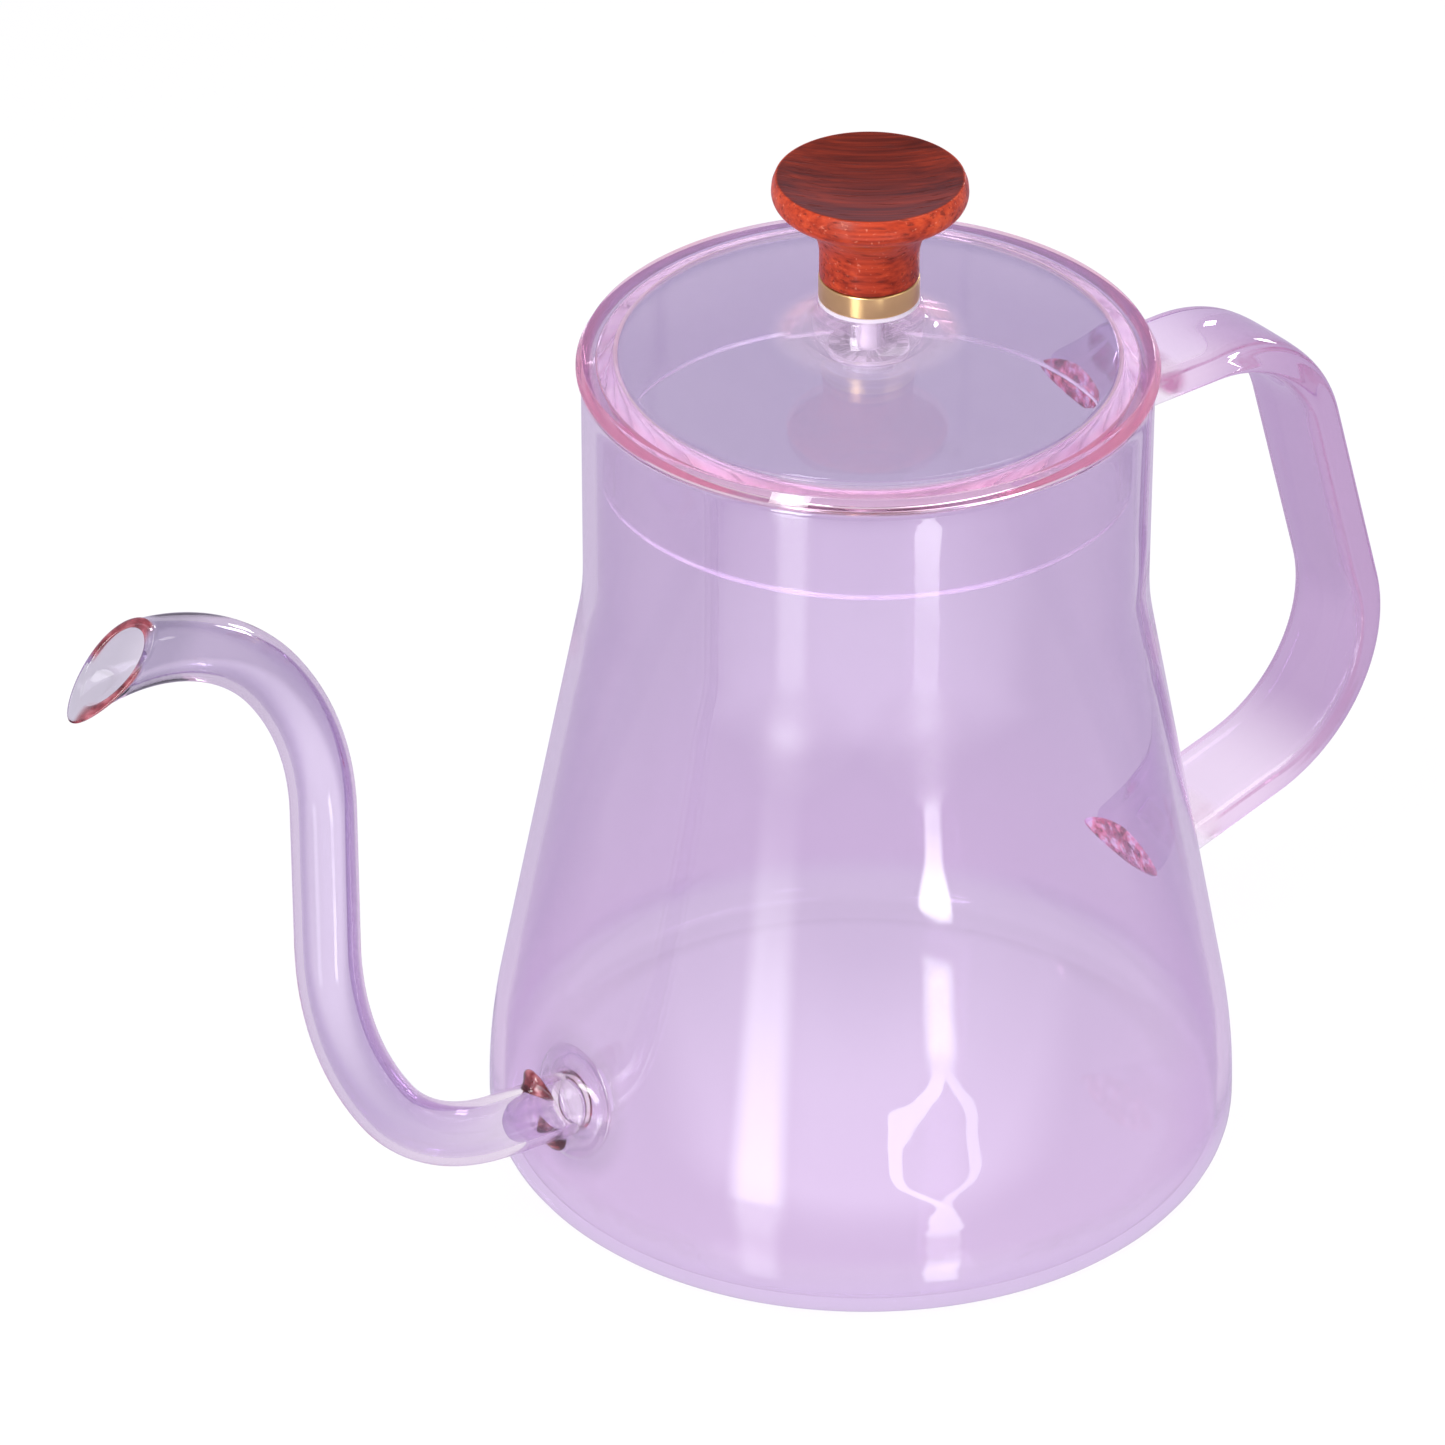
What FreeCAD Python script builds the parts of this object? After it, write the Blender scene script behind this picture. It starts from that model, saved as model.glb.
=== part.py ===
import FreeCAD, Part
import os
from math import acos, atan2, cos, hypot, pi, radians, sin, sqrt

import Sketcher

# A glass gooseneck kettle: a waisted vessel with a bent spout and a strap handle fused to its wall, and
# a domed glass lid that carries a turned wooden knob on a screw. Millimetres and degrees, +Z up. The
# origin is the middle of the base on the table, the spout points along -X and the handle along +X.

SIZES = {
    # Vessel: outside radii, and heights above the table
    "base_radius": 59.5,
    "heel_radius": 6.0,
    "belly_radius": 100.0,
    "neck_radius": 43.7,
    "shoulder_height": 102.5,
    "shoulder_radius": 52.0,
    "rim_height": 136.9,
    "glass_wall": 2.2,
    "floor_thickness": 3.0,
    "inner_heel_radius": 4.5,
    "rim_round": 0.8,
    # Spout, on its centre line: a straight root, a lower bend that eases into a riser, and an arch. The
    # riser stands off from the base's edge, and the arch's crown lies just below the vessel's rim
    "root_height": 25.6,
    "root_rise": 5.2,
    "root_straight": 14.0,
    "spout_radius": 5.0,
    "spout_wall": 1.3,
    "lower_bend_radius": 28.0,
    "lower_ease_radius": 62.0,
    "riser_offset": 43.0,
    "upper_ease_radius": 45.0,
    "upper_bend_radius": 31.5,
    "arch_rise": 39.2,
    "arch_drop": 0.4,
    "mouth_turn": 3.4,
    "mouth_slant": 41.0,
    "spout_weld_bead": 1.6,
    # Handle, a flat strap on its centre line: an upper run below the rim, a leaning grip that stands off
    # from the base's edge, and a lower run
    "handle_drop": 18.7,
    "handle_offset": 39.1,
    "upper_corner_radius": 24.0,
    "lower_corner_radius": 25.3,
    "grip_lean": 16.4,
    "lower_run_rise": 15.2,
    "lower_root_height": 28.8,
    "strap_width": 17.0,
    "strap_thickness": 6.2,
    "strap_round": 2.2,
    "handle_weld_depth": 1.0,
    "handle_weld_width": 13.0,
    "handle_weld_height": 4.6,
    # Lid: its flange rests on the rim and its skirt hangs inside the neck
    "lid_clearance": 0.9,
    "lid_wall": 2.0,
    "skirt_depth": 16.3,
    "skirt_round": 0.7,
    "flange_overhang": 0.8,
    "flange_thickness": 2.8,
    "flange_round": 1.1,
    "dome_rise": 4.6,
    "boss_rise": 4.8,
    "boss_radius": 8.3,
    "boss_fillet": 4.0,
    "boss_round": 0.6,
    "boss_foot": 0.8,
    # Knob with its brass ferrule
    "seat_thickness": 0.6,
    "ferrule_radius": 7.7,
    "ferrule_height": 3.7,
    "tenon_radius": 6.5,
    "knob_neck_radius": 7.6,
    "knob_radius": 14.9,
    "knob_height": 20.4,
    "knob_flare_radius": 8.5,
    "knob_rim_round": 2.7,
    "knob_dish_radius": 13.5,
    "knob_dish_depth": 1.8,
    # Screw fixing, and the clearances that its pieces share
    "screw_radius": 2.0,
    "screw_bite": 8.0,
    "screw_head_radius": 3.8,
    "screw_head_height": 2.4,
    "screw_slot_width": 1.0,
    "screw_slot_depth": 1.1,
    "insert_radius": 3.2,
    "insert_length": 10.0,
    "washer_radius": 5.2,
    "washer_thickness": 0.8,
    "seal_radius": 6.2,
    "seal_thickness": 1.2,
    "hole_clearance": 0.4,
    "fit_clearance": 0.05,
}

# How far sweeps, holes and cuts run past the faces that trim them, and how far the arch runs past the mouth
OVERRUN = 8.0
OVERTURN = 35.0
# The largest part of a wall that the rounding of one of its two edges may take
ROUND_SHARE = 0.45
# How closely an edge has to match the circle that picks it out for rounding
EDGE_MATCH = 0.001

doc = FreeCAD.newDocument("gooseneck_kettle")
sheet = doc.addObject("Spreadsheet::Sheet", "sizes")


class Size:
    """A number together with the expression that ties it to the sheet."""

    def __init__(self, value, text):
        self.value = value
        self.text = text

    def __add__(self, other):
        other = sized(other)
        return Size(self.value + other.value, f"({self.text} + {other.text})")

    def __sub__(self, other):
        other = sized(other)
        return Size(self.value - other.value, f"({self.text} - {other.text})")

    def __mul__(self, other):
        other = sized(other)
        return Size(self.value * other.value, f"({self.text} * {other.text})")

    def __truediv__(self, other):
        other = sized(other)
        return Size(self.value / other.value, f"({self.text} / {other.text})")

    def __neg__(self):
        return Size(-self.value, f"(0 - {self.text})")

    def root(self):
        return Size(sqrt(self.value), f"sqrt({self.text})")

    def sine(self):
        return Size(sin(radians(self.value)), f"sin({self.text})")

    def cosine(self):
        return Size(cos(radians(self.value)), f"cos({self.text})")

    def at_most(self, limit):
        return Size(min(self.value, limit.value), f"min({self.text}; {limit.text})")


def sized(number):
    if isinstance(number, Size):
        return number
    return Size(float(number), repr(float(number)))


def size(name):
    return Size(SIZES[name], f"sizes.{name}")


ZERO = sized(0.0)


def fill_sheet():
    for row, (name, value) in enumerate(SIZES.items(), start=1):
        sheet.set(f"A{row}", name)
        sheet.set(f"B{row}", str(value))
        sheet.setAlias(f"B{row}", name)
    doc.recompute()


def new_body(name):
    body = doc.addObject("PartDesign::Body", name)
    body.Label = name
    return body


def plane_of(body, role):
    return next(feature for feature in body.Origin.OriginFeatures if feature.Role == role)


class Outline:
    """A sketch of lines and arcs, each starting where the one before it ends."""

    def __init__(self, body, name, start, plane="XZ_Plane"):
        self.sketch = body.newObject("Sketcher::SketchObject", name)
        self.sketch.AttachmentSupport = [(plane_of(body, plane), "")]
        self.sketch.MapMode = "FlatFace"
        self.at = start
        self.edges = []

    def add(self, shape, first, last, end, smooth):
        """Add an edge, joined to the one before it; an edge is its number and its two end points."""
        edge = (self.sketch.addGeometry(shape, False), first, last)
        if self.edges:
            before = self.edges[-1]
            kind = "Tangent" if smooth else "Coincident"
            self.sketch.addConstraint(Sketcher.Constraint(kind, before[0], before[2], edge[0], first))
        self.edges.append(edge)
        self.at = end
        return edge

    def line(self, end, smooth=False):
        shape = Part.LineSegment(FreeCAD.Vector(*self.at, 0), FreeCAD.Vector(*end, 0))
        return self.add(shape, 1, 2, end, smooth)

    def arc(self, centre, end, clockwise=False, smooth=True):
        radius = hypot(self.at[0] - centre[0], self.at[1] - centre[1])
        first = atan2(self.at[1] - centre[1], self.at[0] - centre[0])
        last = atan2(end[1] - centre[1], end[0] - centre[0])
        circle = Part.Circle(FreeCAD.Vector(*centre, 0), FreeCAD.Vector(0, 0, 1), radius)
        if clockwise:
            full = first + (2 * pi if first < last else 0)
            return self.add(Part.ArcOfCircle(circle, last, full), 2, 1, end, smooth)
        full = last + (2 * pi if last < first else 0)
        return self.add(Part.ArcOfCircle(circle, first, full), 1, 2, end, smooth)

    def close(self, smooth=False):
        last = self.edges[-1]
        first = self.edges[0]
        kind = "Tangent" if smooth else "Coincident"
        self.sketch.addConstraint(Sketcher.Constraint(kind, last[0], last[2], first[0], first[1]))

    def tie(self, kind, references, value, datum=None):
        datum = value.value if datum is None else datum
        index = self.sketch.addConstraint(Sketcher.Constraint(kind, *references, datum))
        self.sketch.setExpression(f"Constraints[{index}]", value.text)

    def place(self, edge, point, x=None, y=None):
        """Hold a point of an edge (1 or 2 for its ends, 3 for its centre) at x and y."""
        for kind, value, axis in (("DistanceX", x, -2), ("DistanceY", y, -1)):
            if value is None:
                continue
            if value is ZERO:
                self.sketch.addConstraint(Sketcher.Constraint("PointOnObject", edge[0], point, axis))
            else:
                self.tie(kind, (-1, 1, edge[0], point), value)

    def radius(self, edge, value):
        self.tie("Radius", (edge[0],), value)

    def heading(self, edge, value):
        self.tie("Angle", (edge[0],), value, radians(value.value))

    def level(self, edge):
        self.sketch.addConstraint(Sketcher.Constraint("Horizontal", edge[0]))

    def upright(self, edge):
        self.sketch.addConstraint(Sketcher.Constraint("Vertical", edge[0]))


def polygon(body, name, corners, plane="XZ_Plane"):
    """A closed outline of straight sides through corners given as pairs of sizes."""
    points = [(x.value, y.value) for x, y in corners]
    outline = Outline(body, name, points[0], plane)
    for point in points[1:] + points[:1]:
        outline.line(point)
    outline.close()
    for edge, (x, y) in zip(outline.edges, corners):
        outline.place(edge, 1, x, y)
    return outline.sketch


def box_corners(left, right, bottom, top):
    return [(left, bottom), (right, bottom), (right, top), (left, top)]


def rounded_box(body, name, width, height, middle, corner):
    """A rounded rectangle on the plane across X, centred on the plane's Z axis at a given height."""
    half_width = width.value / 2
    low = middle.value - height.value / 2
    high = middle.value + height.value / 2
    inner = half_width - corner.value
    outline = Outline(body, name, (-inner, low), "YZ_Plane")
    bottom = outline.line((inner, low))
    first = outline.arc((inner, low + corner.value), (half_width, low + corner.value))
    right = outline.line((half_width, high - corner.value), smooth=True)
    second = outline.arc((inner, high - corner.value), (inner, high))
    top = outline.line((-inner, high), smooth=True)
    third = outline.arc((-inner, high - corner.value), (-half_width, high - corner.value))
    left = outline.line((-half_width, low + corner.value), smooth=True)
    fourth = outline.arc((-inner, low + corner.value), (-inner, low))
    outline.close(smooth=True)
    for side in (bottom, top):
        outline.level(side)
    for side in (right, left):
        outline.upright(side)
    for arc in (first, second, third, fourth):
        outline.radius(arc, corner)
    outline.place(right, 1, width / 2, None)
    outline.place(left, 1, -width / 2, None)
    outline.place(bottom, 1, None, middle - height / 2)
    outline.place(top, 1, None, middle + height / 2)
    return outline.sketch


def revolve(body, name, sketch, kind="Revolution", axis="V_Axis"):
    feature = body.newObject(f"PartDesign::{kind}", name)
    feature.Profile = sketch
    feature.ReferenceAxis = (sketch, [axis])
    feature.Angle = 360.0
    return feature


def turned_ring(name, inner, outer, bottom, height):
    body = new_body(name)
    section = polygon(body, f"{name}_section", box_corners(inner, outer, bottom, bottom + height))
    revolve(body, f"{name}_turned", section)
    return body


def fillet(body, name, radius, circles):
    """Round those edges of the body that lie on the given circles of radius and height about Z."""
    doc.recompute()
    base = body.Tip
    edges = []
    for number, edge in enumerate(base.Shape.Edges, start=1):
        for wanted, height in circles:
            if not isinstance(edge.Curve, Part.Circle):
                continue
            off_radius = abs(edge.Curve.Radius - wanted.value)
            off_height = abs(edge.Curve.Center.z - height.value)
            if max(off_radius, off_height) < EDGE_MATCH:
                edges.append(f"Edge{number}")
    feature = body.newObject("PartDesign::Fillet", name)
    feature.Base = (base, edges)
    feature.Radius = radius.value
    feature.setExpression("Radius", radius.text)
    return feature


def sweep(body, name, profile, path, kind="AdditivePipe"):
    feature = body.newObject(f"PartDesign::{kind}", name)
    feature.Profile = profile
    feature.Spine = path
    return feature


def cut_across(body, name, sketch, width):
    """Cut a sketch drawn on the plane across Y through the body, half the width to each side."""
    feature = body.newObject("PartDesign::Pocket", name)
    feature.Profile = sketch
    feature.SideType = "Symmetric"
    feature.Length = width.value
    feature.setExpression("Length", width.text)
    return feature


def boolean(kind, label, base, tool):
    feature = doc.addObject(f"Part::{kind}", label)
    feature.Label = label
    feature.Base = base
    feature.Tool = tool
    return feature


def face_spout_side(body):
    """Turn a body that is drawn along +X round to the spout's side."""
    half_turn = FreeCAD.Rotation(FreeCAD.Vector(0, 0, 1), 180.0)
    body.Placement = FreeCAD.Placement(FreeCAD.Vector(), half_turn)


def shift_sketch(sketch, shift, axis, angle):
    """Move a sketch by three sizes in its plane's own axes and turn it about one of those axes."""
    turn = FreeCAD.Rotation(FreeCAD.Vector(*axis), angle.value)
    sketch.AttachmentOffset = FreeCAD.Placement(FreeCAD.Vector(), turn)
    for letter, value in zip("xyz", shift):
        sketch.setExpression(f"AttachmentOffset.Base.{letter}", value.text)
    sketch.setExpression("AttachmentOffset.Rotation.Angle", angle.text)


def wall_outline(body, name, inset, bottom, heel):
    """Half the section of the vessel's wall face, moved inward by inset and closed along the axis."""
    belly = size("belly_radius") - inset
    belly_x = size("base_radius") - size("belly_radius")
    belly_z = size("heel_radius")
    shoulder = size("shoulder_radius") + inset
    shoulder_x = size("neck_radius") + size("shoulder_radius")
    shoulder_z = size("shoulder_height")
    neck = SIZES["neck_radius"] - inset.value
    rim = size("rim_height")
    # The flank is the line that touches the belly's circle on one side and the shoulder's on the other
    across = shoulder_x.value - belly_x.value
    up = shoulder_z.value - belly_z.value
    tilt = atan2(up, across) - acos((belly.value + shoulder.value) / hypot(across, up))
    flank_foot = (belly_x.value + belly.value * cos(tilt), belly_z.value + belly.value * sin(tilt))
    flank_top = (shoulder_x.value - shoulder.value * cos(tilt), shoulder_z.value - shoulder.value * sin(tilt))
    # The heel touches the floor and lies inside the belly's circle
    heel_z = bottom.value + heel.value
    heel_lift = heel_z - belly_z.value
    heel_x = belly_x.value + sqrt((belly.value - heel.value) ** 2 - heel_lift ** 2)
    lean = atan2(heel_lift, heel_x - belly_x.value)
    heel_end = (heel_x + heel.value * cos(lean), heel_z + heel.value * sin(lean))

    outline = Outline(body, name, (0.0, bottom.value))
    floor = outline.line((heel_x, bottom.value))
    heel_arc = outline.arc((heel_x, heel_z), heel_end)
    belly_arc = outline.arc((belly_x.value, belly_z.value), flank_foot)
    outline.line(flank_top, smooth=True)
    shoulder_arc = outline.arc((shoulder_x.value, shoulder_z.value), (neck, shoulder_z.value), clockwise=True)
    neck_line = outline.line((neck, rim.value), smooth=True)
    top = outline.line((0.0, rim.value))
    axis = outline.line((0.0, bottom.value))
    outline.close()
    outline.level(floor)
    outline.place(floor, 1, ZERO, bottom)
    outline.radius(heel_arc, heel)
    outline.radius(belly_arc, belly)
    outline.place(belly_arc, 3, belly_x, belly_z)
    outline.radius(shoulder_arc, shoulder)
    outline.place(shoulder_arc, 3, shoulder_x, shoulder_z)
    outline.upright(neck_line)
    outline.level(top)
    outline.place(top, 2, None, rim)
    outline.upright(axis)
    return outline.sketch


def make_wall_form(name, outset):
    """The filled outside of the vessel, grown by outset, which trims what is fused to the wall."""
    body = new_body(name)
    section = wall_outline(body, f"{name}_section", -outset, ZERO, size("heel_radius") + outset)
    revolve(body, f"{name}_turned", section)
    return body


def make_vessel(spout_hole):
    body = new_body("vessel_shell")
    outside = wall_outline(body, "vessel_outside", ZERO, ZERO, size("heel_radius"))
    revolve(body, "vessel_turned", outside)
    wall = size("glass_wall")
    inside = wall_outline(body, "vessel_inside", wall, size("floor_thickness"), size("inner_heel_radius"))
    revolve(body, "vessel_hollow", inside, "Groove")
    rim = size("rim_height")
    rim_edges = [(size("neck_radius"), rim), (size("neck_radius") - wall, rim)]
    fillet(body, "vessel_rim", size("rim_round").at_most(wall * ROUND_SHARE), rim_edges)
    return boolean("Cut", "vessel", body, spout_hole)


def belly_x_at(height):
    """Distance from the axis to the outside of the belly at a height."""
    belly = size("belly_radius")
    lift = height - size("heel_radius")
    return size("base_radius") - belly + (belly * belly - lift * lift).root()


def lay_along_root(sketch):
    """Turn an upright sketch so that its X axis is the spout's root and its origin lies on the wall."""
    place = (belly_x_at(size("root_height")), size("root_height"), ZERO)
    shift_sketch(sketch, place, (0, 0, 1), size("root_rise"))


def spout_bore():
    return size("spout_radius") - size("spout_wall")


def make_spout_hole():
    """The round hole through the wall, along the spout's root."""
    body = new_body("spout_hole")
    reach = sized(OVERRUN)
    section = polygon(body, "spout_hole_section", box_corners(-reach, reach, ZERO, spout_bore()))
    lay_along_root(section)
    revolve(body, "spout_hole_turned", section, axis="H_Axis")
    face_spout_side(body)
    return body


def spout_start():
    """The start of the spout's centre line, inside the wall."""
    rise = size("root_rise")
    height = size("root_height")
    return belly_x_at(height) - rise.cosine() * OVERRUN, height - rise.sine() * OVERRUN


def riser_reach():
    return size("base_radius") + size("riser_offset")


def arch_height():
    return size("rim_height") - size("arch_drop")


def riser_top():
    return arch_height() - size("arch_rise")


def arch_centre():
    """The centre of the arch's bend, and the sine and cosine of the heading at which it begins."""
    ease = size("upper_ease_radius")
    bend = size("upper_bend_radius")
    level_part = (size("arch_rise") - bend) / (ease - bend)
    upright_part = (sized(1.0) - level_part * level_part).root()
    across = riser_reach() + ease - (ease - bend) * upright_part
    return across, arch_height() - bend, upright_part, level_part


def draw_spout_path(body):
    start = tuple(value.value for value in spout_start())
    rise = radians(SIZES["root_rise"])
    run = size("root_straight") + OVERRUN
    low = size("lower_bend_radius")
    low_ease = size("lower_ease_radius")
    high = size("upper_bend_radius")
    high_ease = size("upper_ease_radius")
    reach = riser_reach()
    top = riser_top()
    bend = (start[0] + run.value * cos(rise), start[1] + run.value * sin(rise))
    # Sine and cosine of the heading at which the lower bend eases
    upright = (reach.value - bend[0] - low_ease.value + low.value * sin(rise)) / (low.value - low_ease.value)
    level = sqrt(1 - upright ** 2)
    ease = (bend[0] + low.value * (upright - sin(rise)), bend[1] + low.value * (cos(rise) - level))
    foot = (reach.value, ease[1] + low_ease.value * level)
    arch_x, arch_z, arch_upright, arch_level = arch_centre()
    lift_end = (arch_x.value - high.value * arch_upright.value, arch_z.value + high.value * arch_level.value)
    past = size("mouth_turn") + OVERTURN
    end_z = arch_z + high * past.cosine()

    path = Outline(body, "spout_path", start)
    root = path.line(bend)
    low_arc = path.arc((bend[0] - low.value * sin(rise), bend[1] + low.value * cos(rise)), ease)
    ease_arc = path.arc((reach.value - low_ease.value, foot[1]), foot)
    riser = path.line((reach.value, top.value), smooth=True)
    lift_arc = path.arc((reach.value + high_ease.value, top.value), lift_end, clockwise=True)
    end = (arch_x.value + high.value * past.sine().value, end_z.value)
    arch = path.arc((arch_x.value, arch_z.value), end, clockwise=True)
    path.place(root, 1, *spout_start())
    path.heading(root, size("root_rise"))
    path.tie("Distance", (root[0],), run)
    path.radius(low_arc, low)
    path.radius(ease_arc, low_ease)
    path.upright(riser)
    path.place(riser, 2, reach, top)
    path.radius(lift_arc, high_ease)
    path.radius(arch, high)
    path.place(arch, 3, None, arch_z)
    path.place(arch, arch[2], None, end_z)
    return path.sketch


def draw_spout_section(body, name, radius):
    """A circle square to the root, at the start of the spout's centre line."""
    sketch = body.newObject("Sketcher::SketchObject", name)
    sketch.AttachmentSupport = [(plane_of(body, "YZ_Plane"), "")]
    sketch.MapMode = "FlatFace"
    start_x, start_z = spout_start()
    shift_sketch(sketch, (ZERO, start_z, start_x), (1, 0, 0), -size("root_rise"))
    circle = Part.Circle(FreeCAD.Vector(), FreeCAD.Vector(0, 0, 1), radius.value)
    number = sketch.addGeometry(circle, False)
    sketch.addConstraint(Sketcher.Constraint("Coincident", number, 3, -1, 1))
    index = sketch.addConstraint(Sketcher.Constraint("Radius", number, radius.value))
    sketch.setExpression(f"Constraints[{index}]", radius.text)
    return sketch


def make_spout(wall_form):
    body = new_body("spout_tube")
    path = draw_spout_path(body)
    sweep(body, "spout_outside", draw_spout_section(body, "spout_outer_section", size("spout_radius")), path)
    bore = draw_spout_section(body, "spout_bore_section", spout_bore())
    sweep(body, "spout_bore", bore, path, "SubtractivePipe")
    # The slanted mouth, cut through a point on the arch
    arch_x, arch_z, _, _ = arch_centre()
    turn = size("mouth_turn")
    middle_x = arch_x + size("upper_bend_radius") * turn.sine()
    middle_z = arch_z + size("upper_bend_radius") * turn.cosine()
    side = size("upper_bend_radius")
    beyond = polygon(body, "mouth_cut", box_corners(-side, side, ZERO, side))
    shift_sketch(beyond, (middle_x, middle_z, ZERO), (0, 0, 1), -size("mouth_slant"))
    tube_width = size("spout_radius") * 2
    cut_across(body, "mouth", beyond, tube_width + OVERRUN)
    face_spout_side(body)
    return boolean("Cut", "spout", body, wall_form)


def make_spout_weld(wall_form):
    """The bead of glass round the spout's root, where it is fused to the wall."""
    body = new_body("spout_weld_ring")
    bead = size("spout_weld_bead")
    tube = size("spout_radius")
    outline = Outline(body, "spout_weld_section", (-bead.value, tube.value))
    base = outline.line((bead.value, tube.value))
    round_side = outline.arc((0.0, tube.value), (-bead.value, tube.value), smooth=False)
    outline.close()
    outline.level(base)
    outline.place(base, 1, None, tube)
    outline.radius(round_side, bead)
    outline.place(round_side, 3, ZERO, tube)
    lay_along_root(outline.sketch)
    revolve(body, "spout_weld_turned", outline.sketch, axis="H_Axis")
    face_spout_side(body)
    return boolean("Cut", "spout_weld", body, wall_form)


def handle_height():
    return size("rim_height") - size("handle_drop")


def draw_handle_path(body):
    top = handle_height()
    start = size("neck_radius") - OVERRUN
    upper = size("upper_corner_radius")
    lower = size("lower_corner_radius")
    lean = size("grip_lean")
    rise = size("lower_run_rise")
    root_z = size("lower_root_height")
    root_x = belly_x_at(root_z)
    end_x = root_x - rise.cosine() * OVERRUN
    end_z = root_z - rise.sine() * OVERRUN
    # Outward direction square to the grip, and the centre of the lower corner above the lower run
    out = (lean.cosine().value, lean.sine().value)
    low_x = size("base_radius") + size("handle_offset") - lower
    slope = rise.sine() / rise.cosine()
    low_z = root_z + (low_x - root_x) * slope + lower / rise.cosine()
    grip_end = (low_x.value + lower.value * out[0], low_z.value + lower.value * out[1])
    high_z = top.value - upper.value
    high_x = (grip_end[0] * out[0] + (grip_end[1] - high_z) * out[1] - upper.value) / out[0]
    grip_start = (high_x + upper.value * out[0], high_z + upper.value * out[1])
    corner_end = (low_x + lower * rise.sine(), low_z - lower * rise.cosine())
    run_start = (corner_end[0].value, corner_end[1].value)

    path = Outline(body, "handle_path", (start.value, top.value))
    upper_run = path.line((high_x, top.value))
    upper_arc = path.arc((high_x, high_z), grip_start, clockwise=True)
    grip = path.line(grip_end, smooth=True)
    lower_arc = path.arc((low_x.value, low_z.value), run_start, clockwise=True)
    lower_run = path.line((end_x.value, end_z.value), smooth=True)
    path.level(upper_run)
    path.place(upper_run, 1, start, top)
    path.radius(upper_arc, upper)
    path.heading(grip, lean - 90.0)
    path.radius(lower_arc, lower)
    path.place(lower_arc, 3, low_x, None)
    path.heading(lower_run, rise - 180.0)
    path.place(lower_run, 2, end_x, end_z)
    return path.sketch


def make_handle(strap_form):
    body = new_body("handle_strap")
    path = draw_handle_path(body)
    thickness = size("strap_thickness")
    corner = size("strap_round").at_most(thickness * ROUND_SHARE)
    width = size("strap_width")
    section = rounded_box(body, "strap_section", width, thickness, handle_height(), corner)
    shift_sketch(section, (ZERO, ZERO, size("neck_radius") - OVERRUN), (0, 0, 1), ZERO)
    sweep(body, "strap", section, path)
    return boolean("Cut", "handle", body, strap_form)


def make_handle_weld(label, height, reach, wall_form, weld_form):
    """The lens of glass that fuses one end of the strap to the wall."""
    body = new_body(f"{label}_bar")
    tall = size("handle_weld_height")
    wide = size("handle_weld_width")
    section = rounded_box(body, f"{label}_section", wide, tall, height, tall * ROUND_SHARE)
    pad = body.newObject("PartDesign::Pad", f"{label}_pad")
    pad.Profile = section
    length = reach + OVERRUN
    pad.Length = length.value
    pad.setExpression("Length", length.text)
    inside = boolean("Common", f"{label}_inside", body, weld_form)
    return boolean("Cut", label, inside, wall_form)


def lid_heights():
    """Heights of the flange's top, the dome's crown, the top of the boss and its foot."""
    flange = size("rim_height") + size("flange_thickness")
    crown = flange + size("dome_rise")
    return flange, crown, crown + size("boss_rise"), crown - size("lid_wall") - size("boss_foot")


def skirt_radius():
    return size("neck_radius") - size("glass_wall") - size("lid_clearance")


def flange_radius():
    return size("neck_radius") + size("flange_overhang")


def dome_radius():
    rise = size("dome_rise")
    return (flange_radius() * flange_radius() + rise * rise) / (rise * 2)


def draw_lid_section(body, name, radii, heights, sphere):
    """Half a section under the dome: radii and heights of the stepped side, from the bottom up."""
    _, crown, _, _ = lid_heights()
    centre_z = crown - dome_radius()
    outline = Outline(body, name, (0.0, heights[0].value))
    bottom = outline.line((radii[0].value, heights[0].value))
    sides = []
    for number, radius in enumerate(radii):
        if number:
            outline.line((radius.value, heights[number].value))
        sides.append(outline.line((radius.value, heights[number + 1].value)))
    crown_z = centre_z + sphere
    dome = outline.arc((0.0, centre_z.value), (0.0, crown_z.value), smooth=False)
    axis = outline.line((0.0, heights[0].value))
    outline.close()
    outline.upright(axis)
    outline.place(bottom, 1, ZERO, heights[0])
    for number, side in enumerate(sides):
        outline.place(side, 1, radii[number], heights[number])
        outline.upright(side)
        if number + 1 < len(sides):
            outline.place(side, 2, None, heights[number + 1])
    outline.radius(dome, sphere)
    outline.place(dome, 3, ZERO, centre_z)
    return outline.sketch


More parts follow.
